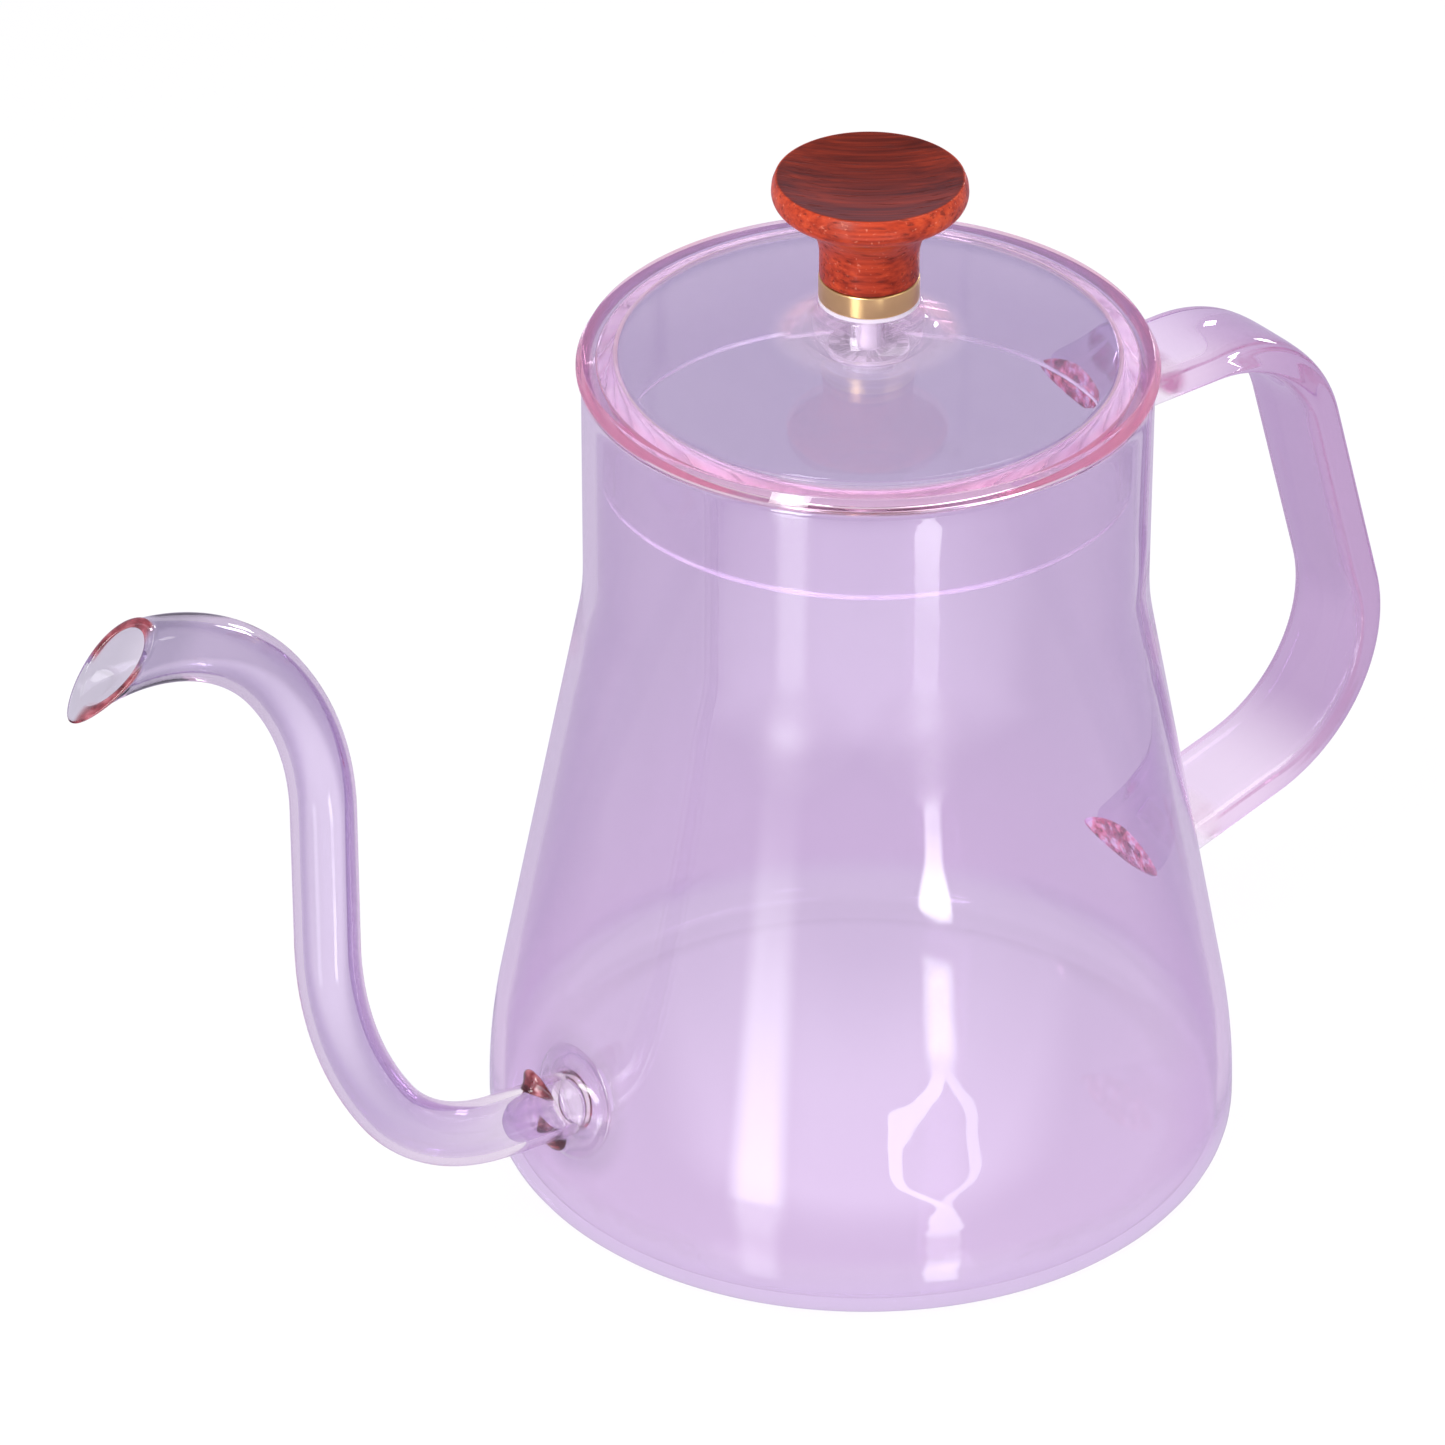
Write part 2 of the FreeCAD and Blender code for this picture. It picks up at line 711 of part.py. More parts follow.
def make_lid():
    body = new_body("lid")
    rim = size("rim_height")
    skirt = skirt_radius()
    flange = flange_radius()
    wall = size("lid_wall")
    foot = rim - size("skirt_depth")
    flange_top, crown, boss_top, boss_foot = lid_heights()
    sphere = dome_radius()
    outside = draw_lid_section(body, "lid_outside", [skirt, flange], [foot, rim, flange_top], sphere)
    revolve(body, "lid_turned", outside)
    under = sphere - wall
    bore = skirt - wall
    bore_top = crown - sphere + (under * under - bore * bore).root()
    inside = draw_lid_section(body, "lid_inside", [bore], [foot, bore_top], under)
    revolve(body, "lid_hollow", inside, "Groove")
    boss = size("boss_radius")
    revolve(body, "lid_boss", polygon(body, "boss_section", box_corners(ZERO, boss, boss_foot, boss_top)))
    hole = size("screw_radius") + size("hole_clearance")
    drill = box_corners(ZERO, hole, boss_foot - OVERRUN, boss_top + OVERRUN)
    revolve(body, "lid_hole", polygon(body, "lid_hole_section", drill), "Groove")
    neck_z = crown - sphere + (sphere * sphere - boss * boss).root()
    fillet(body, "boss_flare", size("boss_fillet"), [(boss, neck_z)])
    fillet(body, "boss_edge", size("boss_round"), [(boss, boss_top)])
    bead = size("flange_round").at_most(size("flange_thickness") * ROUND_SHARE)
    fillet(body, "flange_bead", bead, [(flange, rim), (flange, flange_top)])
    fillet(body, "skirt_lip", size("skirt_round").at_most(wall * ROUND_SHARE), [(skirt, foot), (bore, foot)])
    return body


def ferrule_bottom():
    _, _, boss_top, _ = lid_heights()
    return boss_top + size("seat_thickness")


def make_knob():
    body = new_body("knob")
    bottom = ferrule_bottom()
    shoulder = bottom + size("ferrule_height")
    tenon = size("tenon_radius")
    neck = size("knob_neck_radius")
    flare = size("knob_flare_radius")
    bead = size("knob_rim_round")
    dish_r = size("knob_dish_radius")
    bead_x = size("knob_radius") - bead
    # The rim's bead carries the dish's edge, and the flare runs into it from the neck
    edge_x = dish_r - bead_x
    edge_rise = (bead * bead - edge_x * edge_x).root()
    top = bottom + size("knob_height")
    bead_z = top - edge_rise
    flare_x = neck + flare
    offset = bead_x - flare_x
    span = flare + bead
    flare_z = bead_z - (span * span - offset * offset).root()
    meet = flare / span
    meet_point = ((flare_x + offset * meet).value, (flare_z + (bead_z - flare_z) * meet).value)
    depth = size("knob_dish_depth")
    dish = (dish_r * dish_r + depth * depth) / (depth * 2)
    floor = top - depth

    outline = Outline(body, "knob_section", (0.0, bottom.value))
    base = outline.line((tenon.value, bottom.value))
    tenon_side = outline.line((tenon.value, shoulder.value))
    ledge = outline.line((neck.value, shoulder.value))
    neck_side = outline.line((neck.value, flare_z.value))
    flare_arc = outline.arc((flare_x.value, flare_z.value), meet_point, clockwise=True)
    bead_arc = outline.arc((bead_x.value, bead_z.value), (dish_r.value, top.value))
    dish_arc = outline.arc((0.0, (floor + dish).value), (0.0, floor.value), clockwise=True, smooth=False)
    axis = outline.line((0.0, bottom.value))
    outline.close()
    outline.place(base, 1, ZERO, bottom)
    outline.level(base)
    outline.place(tenon_side, 2, tenon, shoulder)
    outline.upright(tenon_side)
    outline.place(ledge, 2, neck, None)
    outline.level(ledge)
    outline.upright(neck_side)
    outline.radius(flare_arc, flare)
    outline.radius(bead_arc, bead)
    outline.place(bead_arc, 3, bead_x, bead_z)
    outline.place(bead_arc, 2, None, top)
    outline.radius(dish_arc, dish)
    outline.place(dish_arc, 3, ZERO, None)
    outline.upright(axis)
    revolve(body, "knob_turned", outline.sketch)
    socket = size("insert_radius") + size("fit_clearance")
    drill = box_corners(ZERO, socket, bottom - OVERRUN, bottom + size("insert_length"))
    revolve(body, "knob_socket", polygon(body, "knob_socket_section", drill), "Groove")
    return body


def make_screw(head_top):
    body = new_body("knob_screw")
    head_bottom = head_top - size("screw_head_height")
    shank = size("screw_radius")
    head = size("screw_head_radius")
    tip = ferrule_bottom() + size("screw_bite")
    corners = [
        (ZERO, head_bottom), (head, head_bottom), (head, head_top),
        (shank, head_top), (shank, tip), (ZERO, tip),
    ]
    revolve(body, "screw_turned", polygon(body, "screw_section", corners))
    slot = box_corners(-head, head, head_bottom, head_bottom + size("screw_slot_depth"))
    cut_across(body, "screw_slot", polygon(body, "screw_slot_section", slot), size("screw_slot_width"))
    return body


def make_fixing():
    """The knob's ferrule, insert, screw and washers, from the knob down to the screw's head."""
    fit = size("fit_clearance")
    hole = size("screw_radius") + size("hole_clearance")
    _, _, boss_top, boss_foot = lid_heights()
    bottom = ferrule_bottom()
    seal_bottom = boss_foot - size("seal_thickness")
    washer_bottom = seal_bottom - size("washer_thickness")
    seat_radius = size("boss_radius") - size("boss_round")
    collar_bore = size("tenon_radius") + fit
    insert_bore = size("screw_radius") + fit
    return [
        turned_ring("knob_seat_washer", hole, seat_radius, boss_top, size("seat_thickness")),
        turned_ring("ferrule", collar_bore, size("ferrule_radius"), bottom, size("ferrule_height")),
        turned_ring("knob_insert", insert_bore, size("insert_radius"), bottom, size("insert_length")),
        turned_ring("seal_washer", hole, size("seal_radius"), seal_bottom, size("seal_thickness")),
        turned_ring("screw_washer", hole, size("washer_radius"), washer_bottom, size("washer_thickness")),
        make_screw(washer_bottom),
    ]


def make_kettle():
    fill_sheet()
    wall_form = make_wall_form("wall_form", ZERO)
    weld_form = make_wall_form("weld_form", size("handle_weld_depth"))
    strap_form = make_wall_form("strap_form", size("handle_weld_depth") + size("fit_clearance"))
    upper_reach = size("neck_radius")
    lower_reach = belly_x_at(size("lower_root_height"))
    lower_height = size("lower_root_height")
    pieces = [
        make_vessel(make_spout_hole()),
        make_spout(wall_form),
        make_spout_weld(wall_form),
        make_handle(strap_form),
        make_handle_weld("handle_upper_weld", handle_height(), upper_reach, wall_form, weld_form),
        make_handle_weld("handle_lower_weld", lower_height, lower_reach, wall_form, weld_form),
        make_lid(),
        make_knob(),
    ]
    pieces += make_fixing()
    doc.recompute()
    return pieces


def check(pieces):
    for item in doc.Objects:
        if "Invalid" in item.State or "Error" in item.State:
            raise RuntimeError(f"{item.Label} failed: {item.State}")
    for piece in pieces:
        if piece.Shape.isNull() or not piece.Shape.isValid() or not piece.Shape.Solids:
            raise RuntimeError(f"{piece.Label} has no valid solid")


def export(pieces):
    os.makedirs("parts", exist_ok=True)
    for piece in pieces:
        piece.Shape.exportStep(f"parts/{piece.Label}.step")
        box = piece.Shape.BoundBox
        print(f"{piece.Label}: {len(piece.Shape.Solids)} solid, {piece.Shape.Volume:.1f} mm3,",
              f"x {box.XMin:.1f} to {box.XMax:.1f}, y {box.YMin:.1f} to {box.YMax:.1f},",
              f"z {box.ZMin:.1f} to {box.ZMax:.1f}")


kettle = make_kettle()
check(kettle)
export(kettle)
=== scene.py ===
from math import acos, asin, atan2, ceil, cos, hypot, pi, radians, sin, sqrt, tan

import bmesh
import bpy
from mathutils import Matrix, Vector


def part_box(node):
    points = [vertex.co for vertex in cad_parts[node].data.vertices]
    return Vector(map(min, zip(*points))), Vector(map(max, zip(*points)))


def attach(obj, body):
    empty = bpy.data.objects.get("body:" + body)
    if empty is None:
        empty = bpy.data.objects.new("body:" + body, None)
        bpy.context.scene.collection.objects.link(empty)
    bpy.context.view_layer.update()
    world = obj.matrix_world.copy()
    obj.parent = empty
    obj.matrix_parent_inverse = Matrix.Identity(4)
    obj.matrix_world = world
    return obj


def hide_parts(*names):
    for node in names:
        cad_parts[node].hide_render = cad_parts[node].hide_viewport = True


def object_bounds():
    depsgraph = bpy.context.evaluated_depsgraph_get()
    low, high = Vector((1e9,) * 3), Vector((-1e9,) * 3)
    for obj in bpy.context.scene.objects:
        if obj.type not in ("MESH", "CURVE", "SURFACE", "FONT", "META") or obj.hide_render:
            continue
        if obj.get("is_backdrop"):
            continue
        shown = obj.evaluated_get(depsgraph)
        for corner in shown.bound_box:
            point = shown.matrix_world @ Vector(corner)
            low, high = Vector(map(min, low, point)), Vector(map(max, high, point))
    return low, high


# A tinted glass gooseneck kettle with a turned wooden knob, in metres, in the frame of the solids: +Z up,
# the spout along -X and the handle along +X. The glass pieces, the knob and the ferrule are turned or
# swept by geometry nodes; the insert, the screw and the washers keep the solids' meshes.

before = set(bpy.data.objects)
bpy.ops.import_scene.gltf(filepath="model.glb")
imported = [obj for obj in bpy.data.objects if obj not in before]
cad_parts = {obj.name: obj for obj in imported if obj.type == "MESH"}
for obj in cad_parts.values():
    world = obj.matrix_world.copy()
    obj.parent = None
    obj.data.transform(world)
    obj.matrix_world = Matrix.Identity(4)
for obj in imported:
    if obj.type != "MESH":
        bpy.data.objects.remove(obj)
cad_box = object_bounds()

MM = 0.001

# Vessel
VESSEL_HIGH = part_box("vessel")[1]
BASE_RADIUS = VESSEL_HIGH.x
RIM_HEIGHT = VESSEL_HIGH.z
NECK_RADIUS = 43.7 * MM
HEEL_RADIUS = 6.0 * MM
BELLY_RADIUS = 100.0 * MM
SHOULDER_RADIUS = 52.0 * MM
SHOULDER_HEIGHT = 102.5 * MM
GLASS_WALL = 2.2 * MM
FLOOR_THICKNESS = 3.0 * MM
INNER_HEEL_RADIUS = 2.0 * MM
RIM_ROUND = 0.95 * MM

# Spout, along its centre line
SPOUT_RADIUS = 5.0 * MM
SPOUT_WALL = 1.3 * MM
SPOUT_BORE = SPOUT_RADIUS - SPOUT_WALL
ROOT_HEIGHT = 25.6 * MM
ROOT_RISE = radians(5.2)
ROOT_STRAIGHT = 14.0 * MM
LOWER_BEND = 28.0 * MM
LOWER_EASE = 62.0 * MM
RISER_REACH = BASE_RADIUS + 43.0 * MM
UPPER_EASE = 45.0 * MM
UPPER_BEND = 31.5 * MM
ARCH_HEIGHT = RIM_HEIGHT - 0.4 * MM
ARCH_RISE = 39.2 * MM
MOUTH_TURN = radians(3.4)
MOUTH_SLANT = radians(41.0)
LIP_BULGE = 0.14 * MM
LIP_THINS = 0.4 * MM
SKIN_EASE = 40.0 * MM
HOLE_DEPTH = 3.0 * GLASS_WALL
ROOT_FLARE = 2.2 * MM
ROOT_FLARE_START = 0.2 * GLASS_WALL
ROOT_FLARE_REACH = 1.6 * ROOT_FLARE
COLLAR_LENGTH = 5.0 * MM
COLLAR_LEAN = 0.35
ROOT_BEAD = 0.18 * MM
ROOT_BEAD_TOP = 2.9 * MM
ROOT_BEAD_BOTTOM = 2.7 * MM
DROP_NARROWNESS = 6.0
SEAM = 0.02 * MM
ROOT_LEAN = -tan(asin((ROOT_HEIGHT - HEEL_RADIUS) / BELLY_RADIUS) - ROOT_RISE)
ROOT_HUG = -0.5 / BASE_RADIUS
# Sections of the collar in millimetres and of a drop of size one: along the tube, and out from it
COLLAR_SECTION = [
    (0.02, 0.0), (5.6, 0.0), (5.7, 0.1), (4.6, 0.14), (3.6, 0.32), (2.7, 0.65), (1.9, 1.15), (1.2, 1.8),
    (0.6, 2.6), (0.2, 3.5), (0.05, 4.2), (0.02, 4.2), (0.02, 0.0)]
DROP_SECTION = [
    (0.02, 0.0), (0.9, 0.0), (1.0, 0.04), (0.82, 0.16), (0.64, 0.38), (0.5, 0.66), (0.36, 0.88), (0.2, 0.99),
    (0.06, 0.98), (0.02, 0.9), (0.02, 0.0)]
ARCH_LEVEL = (ARCH_RISE - UPPER_BEND) / (UPPER_EASE - UPPER_BEND)
ARCH_X = RISER_REACH + UPPER_EASE - (UPPER_EASE - UPPER_BEND) * sqrt(1 - ARCH_LEVEL ** 2)
MOUTH_MIDDLE = Vector((-ARCH_X - UPPER_BEND * sin(MOUTH_TURN), 0.0,
                       ARCH_HEIGHT - UPPER_BEND * (1 - cos(MOUTH_TURN))))
MOUTH_WAY = (-sin(MOUTH_SLANT), 0.0, cos(MOUTH_SLANT))
MOUTH_UPHILL = (cos(MOUTH_SLANT), 0.0, sin(MOUTH_SLANT))
MOUTH_REACH = 4.0 * SPOUT_RADIUS

# Handle, along its centre line
HANDLE_HEIGHT = RIM_HEIGHT - 18.7 * MM
HANDLE_REACH = BASE_RADIUS + 39.1 * MM
UPPER_CORNER = 24.0 * MM
LOWER_CORNER = 25.3 * MM
GRIP_LEAN = radians(16.4)
LOWER_RISE = radians(15.2)
LOWER_ROOT = 28.8 * MM
STRAP_WIDTH = 17.0 * MM
STRAP_THICKNESS = 6.2 * MM
STRAP_SQUARENESS = 4.2
STRAP_END_GAP = 1.0 * MM
STRAP_END_ROUND = 2.2 * MM
STRAP_WELD_HEIGHT = 7.6 * MM
STRAP_WELD_WIDTH = 20.0 * MM
STRAP_FOOT_LEAN = 0.08
UPPER_HUG = -0.5 / NECK_RADIUS
LENS_SQUARENESS = 1.3
# Section of a weld's lens: the share of the joint that is passed, and the lens's share of its full size
LENS_SECTION = [(0.03, 0.0), (0.03, 0.86), (0.2, 0.97), (0.5, 1.0), (0.8, 0.97), (0.97, 0.86), (0.97, 0.0)]

# Lid
LID_LOW, LID_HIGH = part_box("lid")
SKIRT_FOOT = LID_LOW.z
SKIRT_RADIUS = NECK_RADIUS - GLASS_WALL - 0.9 * MM
LID_WALL = 2.0 * MM
FLANGE_RADIUS = LID_HIGH.x
FLANGE_TOP = RIM_HEIGHT + 2.8 * MM
FLANGE_ROUND = 1.2 * MM
FLANGE_BEVEL = 0.9 * MM
FLANGE_BEVEL_DROP = 1.6 * MM
FLANGE_FOOT_ROUND = 0.8 * MM
FLANGE_EDGE = 0.5 * MM
SKIRT_ROUND = 0.8 * MM
SKIRT_TOP_ROUND = 1.2 * MM
BOSS_RADIUS = 8.3 * MM
BOSS_TOP = LID_HIGH.z
BOSS_FLARE = 4.0 * MM
BOSS_ROUND = 0.6 * MM
BOSS_EDGE = 0.3 * MM
BOSS_FOOT = 0.8 * MM
BOSS_TAPER = 0.4 * MM
DOME_RISE = 4.6 * MM
DOME_START = BOSS_RADIUS + 1.6 * BOSS_FLARE
DOME_END = FLANGE_RADIUS - 2.2 * FLANGE_ROUND
UNDER_GAP = 2.0 * MM
SCREW_HOLE = 2.4 * MM

# Knob and ferrule
KNOB_NECK = 7.6 * MM
KNOB_FLARE = 8.5 * MM
KNOB_RIM = 2.7 * MM
KNOB_RIM_DROP = 2.4 * MM
KNOB_RIM_LEAN = 0.1 * MM
KNOB_RIM_RISE = 1.1 * MM
KNOB_RIM_ROUND = 0.8 * MM
KNOB_DISH = 14.0 * MM
KNOB_DISH_DEPTH = 1.8 * MM
KNOB_DISH_LIP = 0.3 * MM
KNOB_DISH_EDGE = 0.35 * MM
KNOB_TENON = 6.5 * MM
KNOB_FOOT_EDGE = 0.3 * MM
TENON_EDGE = 0.2 * MM
FERRULE_EDGE = 0.3 * MM
FERRULE_BORE_EDGE = 0.15 * MM

# How finely pieces are meshed: steps round and along, the turn and length of one facet, the turn of a
# bend's facet and of a sharp edge, and how near points merge
TURNED_STEPS = 224
FACET_TURN = radians(10)
FACET_LENGTH = 2.2 * MM
TUBE_STEPS = 72
STRAP_STEPS = 96
LIP_STEPS = 8
LIP_OVERLAP = 2
CAP_STEPS = 8
CAP_ROOM = 2
DOME_STEPS = 14
ARC_STEPS = 16
BEND_TURN = radians(3)
SHARP_TURN = radians(40)
MERGE_DISTANCE = 0.001 * MM

# The photograph's camera, which looks down at the spout's side
VIEW_TURN = radians(-37.5)
VIEW_DROP = radians(32.359)
VIEW_DISTANCE = 1.3
VIEW_TARGET = Vector((0.0, 0.0, 0.065))
VIEW_SHIFT = (-22.149 * MM, 6.905 * MM)
LENS = 206.7
SENSOR = 36.0

# Lamps and cards, and what mirror-like reflections show of the studio
MIDDLE = (0.0, 0.0, 0.06)
FILL_LIGHT = 0.72
CEILING = (sin(radians(14)), sin(radians(50)))
CEILING_LIGHT = 0.15
TABLE_DROP = radians(35)
TABLE_SEEN = (0.6, 0.98)
TABLE_LIGHT = 0.6
TABLE_GLOW = 3.8
TABLE_NEAR = (-0.085, -0.15)
TABLE_FAR = (-0.38, -0.22)
TABLE_SIDES = (0.28, 0.04)
TABLE_GLOW_DROP = 1.0 * MM
FLOOR_DROP = 0.2 * MM
FLOOR_LIGHT = 0.85
MIRRORED_LIGHT = 0.1
CARD_DISTANCE = 0.7
CARD_SOFTNESS = 0.3
LEFT_CARDS = radians(-30)
RIGHT_CARDS = radians(22.8)
RIGHT_SKEW = 0.07
BOUNCES = 80

# The strip of light on the right: heights on its cards where strands part, join, widen and fade
STRAND = 0.045
STRAND_WAVES = 34.0
STRAND_SWAY = 0.08
STRANDS_WIDEN = (-0.19, -0.24)
STRIP_FOOT = (-0.058, -0.0755)
LEFT_PARTS = (-0.108, -0.138)
LEFT_JOINS = (-0.20, -0.142)
LEFT_OUT = 0.17
RIGHT_PARTS = (-0.106, -0.122)
RIGHT_JOINS = (-0.19, -0.127)
RIGHT_OUT = 0.11
DIP_HEIGHT = -0.318
DIP = (0.025, 0.06)
DIP_LIGHT = 0.35
LEFT_SOFT = (STRAND * 0.65, STRAND * 0.5)
RIGHT_SOFT = (STRAND * 0.55, STRAND * 0.4)
RIGHT_LIGHT = 0.7
STRANDS_SPREAD = 1.3
STRIP_SPREAD = (0.7, 0.8)

# Colours, as light that a face gives back or a wall lets through, and stops of colour ramps
WALL_TINT = (0.735, 0.645, 0.805)
BELLY_TINT = (0.82, 0.68, 0.88)
FLOOR_TINT = (0.985, 0.965, 0.99)
DOME_TINT = (0.62, 0.58, 0.735)
SKIRT_TINT = (0.97, 0.955, 0.985)
RIM_TINT = (0.82, 0.43, 0.56)
RIM_PALE = (0.79, 0.49, 0.68)
TUBE_TINT = (0.785, 0.73, 0.865)
ARCH_TINT = (0.72, 0.67, 0.80)
TUBE_FOOT_TINT = (0.865, 0.81, 0.925)
TUBE_ROOT_TINT = (0.98, 0.97, 0.99)
MOUTH_TINT = (0.57, 0.535, 0.65)
LIP_TINT = (0.66, 0.30, 0.36)
STRAP_TINT = (0.52, 0.375, 0.605)
STRAP_SHADE = (0.66, 0.47, 0.80)
STRAP_ROOT_TINT = (0.93, 0.80, 1.0)
WELD_TINT = (0.66, 0.30, 0.36)
WELD_STOPS = [(0.40, (0.05, 0.01, 0.013)), (0.54, (0.17, 0.035, 0.042)), (0.70, (0.55, 0.2, 0.22))]
# The lens's reds, with painted glints in its palest stops
LENS_AND_GLINT_STOPS = [(0.37, (0.16, 0.03, 0.04)), (0.46, (0.80, 0.27, 0.31)), (0.55, (1.0, 0.5, 0.54)),
              (0.63, (1.0, 0.93, 0.94))]
LIP_STOPS = [(0.36, (0.10, 0.025, 0.03)), (0.52, (0.26, 0.06, 0.075)), (0.7, (0.5, 0.17, 0.2))]
# A painted highlight along the skirt's foot
FOOT_HIGHLIGHT_STOPS = [(0.3, (0.86, 0.78, 0.92)), (0.7, (0.98, 0.95, 0.99))]
WALL_VEIL = (0.86, 0.785, 0.92)
HEEL_VEIL = (0.985, 0.97, 0.99)
BOSS_VEIL = (0.93, 0.91, 0.96)
CLEAR_VEIL = (0.985, 0.96, 0.99)
STRAP_VEIL = (0.955, 0.915, 0.975)
PINK_DEPTH = (0.75, 0.0, 0.31)
WOOD_STOPS = [(0.34, (0.17, 0.014, 0.006)), (0.5, (0.42, 0.042, 0.014)), (0.66, (0.60, 0.080, 0.024))]
# The dished top's grain, darkened by painted shade
WOOD_SHADED_TOP_STOPS = [(0.36, (0.045, 0.007, 0.006)), (0.52, (0.13, 0.015, 0.008)), (0.68, (0.25, 0.027, 0.010))]
WOOD_PORE = (0.09, 0.012, 0.008)
WOOD_FLECK = (0.72, 0.24, 0.15)
SILICONE_PALE = (0.88, 0.82, 0.91)
SILICONE_SHADE = (0.80, 0.74, 0.84)
STEEL = (0.95, 0.93, 0.97)
STEEL_SHADE = (0.85, 0.83, 0.87)
BRASS = (0.86, 0.62, 0.27)
BRASS_SHADE = (0.72, 0.47, 0.17)
STUDIO = (0.55, 0.47, 0.66)
FILL = (0.95, 0.92, 1.0)
TABLE = (0.85, 0.76, 0.92)
PAPER = (0.95, 0.95, 0.95)
WHITE = (1.0, 1.0, 1.0)

# Where glass and wood change their looks. Each pair runs from where a change starts to where it is full:
# heights, depths, distances from the axis or along the strap, or distances from the middle of a drop, a
# smear, a hole or the mouth
HEEL_HEIGHTS = (13 * MM, 6 * MM)
HEEL_REACH = (48 * MM, 51 * MM)
UNDERSIDE = (2.0 * MM, 0.8 * MM)
HOLE_FLARE = (14 * MM, 8 * MM)
BELLY_PINK = (70 * MM, 8 * MM)
FLOOR_CLEAR = (9 * MM, 4 * MM)
BELLY_WAVES = (60 * MM, 15 * MM)
SHOULDER_MIDDLE = 99 * MM
SHOULDER_WAVES = (16 * MM, 4 * MM)
DULL_HEIGHT = 97 * MM
DULL_REACH = (13 * MM, 6.5 * MM)
DULL_TURNS = (VIEW_TURN + radians(10.5), VIEW_TURN - radians(14.5))
TUBE_FOOT = (44 * MM, 28 * MM)
TUBE_ROOT = (-75 * MM, -63 * MM)
TUBE_ARCH = (106 * MM, 126 * MM)
MOUTH_GREY = (-9 * MM, -3 * MM)
LIP_PINK = (-1.1 * MM, -0.4 * MM)
LIP_DENSE = (-0.75 * MM, -0.3 * MM)
LIP_RED = (-2.0 * MM, 0.5 * MM)
LIP_FAR_SHARE = 0.25
DROPS_MIDDLE = ROOT_HEIGHT + 0.5 * MM
DROPS = (3.9 * MM, 4.9 * MM)
LOWER_RUN = (58 * MM, 34 * MM)
STRAP_END = (57.5 * MM, 54.5 * MM)
STRAP_END_SHIFT = 11 * MM
STRAP_PALE = (82 * MM, 57 * MM)
STRAP_PALE_SHIFT = 18 * MM
SKIRT_CLEAR = (RIM_HEIGHT + 0.6 * MM, RIM_HEIGHT - 1.5 * MM)
# Where a painted highlight runs along the skirt's foot
SKIRT_FOOT_HIGHLIGHT = (SKIRT_FOOT + 0.75 * MM, SKIRT_FOOT + 0.15 * MM)
RIM_PINK = (FLANGE_RADIUS - 3.6 * MM, FLANGE_RADIUS - 1.6 * MM)
BOSS_REACH = (14.5 * MM, 11 * MM)
BOSS_PALE = (16 * MM, 9 * MM)
# Where painted shade darkens the knob's dished top
SHADED_DISH_REACH = (KNOB_DISH + 0.3 * MM, KNOB_DISH - 0.1 * MM)
SHADED_DISH_DEPTHS = (2.6 * MM, 2.1 * MM)

# How much of each change shows
HEEL_STILL = 0.95
HOLE_STILL = 0.5
BOSS_STILL = 0.72
STRAP_STILL = 0.95
BEAD_STILL = 0.9
COLLAR_STILL = 0.75
COLLAR_PATCHES = 0.2
DROP_CORE = 0.9
LENS_CORE = 0.85
LIP_CORE = 0.8
FOOT_HIGHLIGHT_SHARE = 0.75
NECK_RIPPLE = 0.35
SHOULDER_RIPPLE = 1.3
DULL_ROUGHNESS = 0.22

# Materials: how they bend light, how rough they are, how many cells of noise a metre holds, and the pairs
# of noise levels between which patches set in
GLASS_IOR = 1.47
STREAK_SCALE = 30.0
STREAK_SHARE = 0.3
SMEAR_SCALE = 55.0
SMEARS = (0.5, 0.8)
SMEAR_ROUGHNESS = 0.03
CORE_ROUGHNESS = 0.08
CORE_SMEARS = 0.1
CORE_GRAIN = 3 * MM
DROP_GRAIN = 260.0
DROP_DENSE = (0.2, 0.5)
LENS_GRAIN = 420.0
LENS_DENSE = (0.35, 0.6)
COLLAR_GRAIN = 300.0
RIM_GRAIN = 40.0
RIM_PATCHES = (0.42, 0.62)
GRAIN_START = (0.031, 0.017, -0.16)
GRAIN_TURN = radians(37.5)
WOOD_BROAD = (14.0, 190.0, 2.0)
WOOD_FINE = (30.0, 1300.0, 4.0, 0.6)
WOOD_PORES = (160.0, 1500.0, 2.0)
PORES = (0.58, 0.7)
FLECK_GRAIN = 1500.0
FLECKS = (0.62, 0.76)
LATHE_MARKS = (12.0, 12.0, 9000.0)
METAL_GRAIN = 260.0
SILICONE_IOR = 1.41
CLOUD_GRAIN = 420.0
SKIN_GRAIN = 2600.0


class Wire:
    """A node's output, which takes part in Python sums."""

    def __init__(self, graph, socket):
        self.graph = graph
        self.socket = socket

    def __add__(self, other):
        return self.graph.math("ADD", self, other)

    def __radd__(self, other):
        return self.graph.math("ADD", other, self)

    def __sub__(self, other):
        return self.graph.math("SUBTRACT", self, other)

    def __rsub__(self, other):
        return self.graph.math("SUBTRACT", other, self)

    def __mul__(self, other):
        return self.graph.math("MULTIPLY", self, other)

    def __rmul__(self, other):
        return self.graph.math("MULTIPLY", other, self)

    def __truediv__(self, other):
        return self.graph.math("DIVIDE", self, other)

    def __pow__(self, other):
        return self.graph.math("POWER", self, other)

    def __abs__(self):
        return self.graph.math("ABSOLUTE", self)


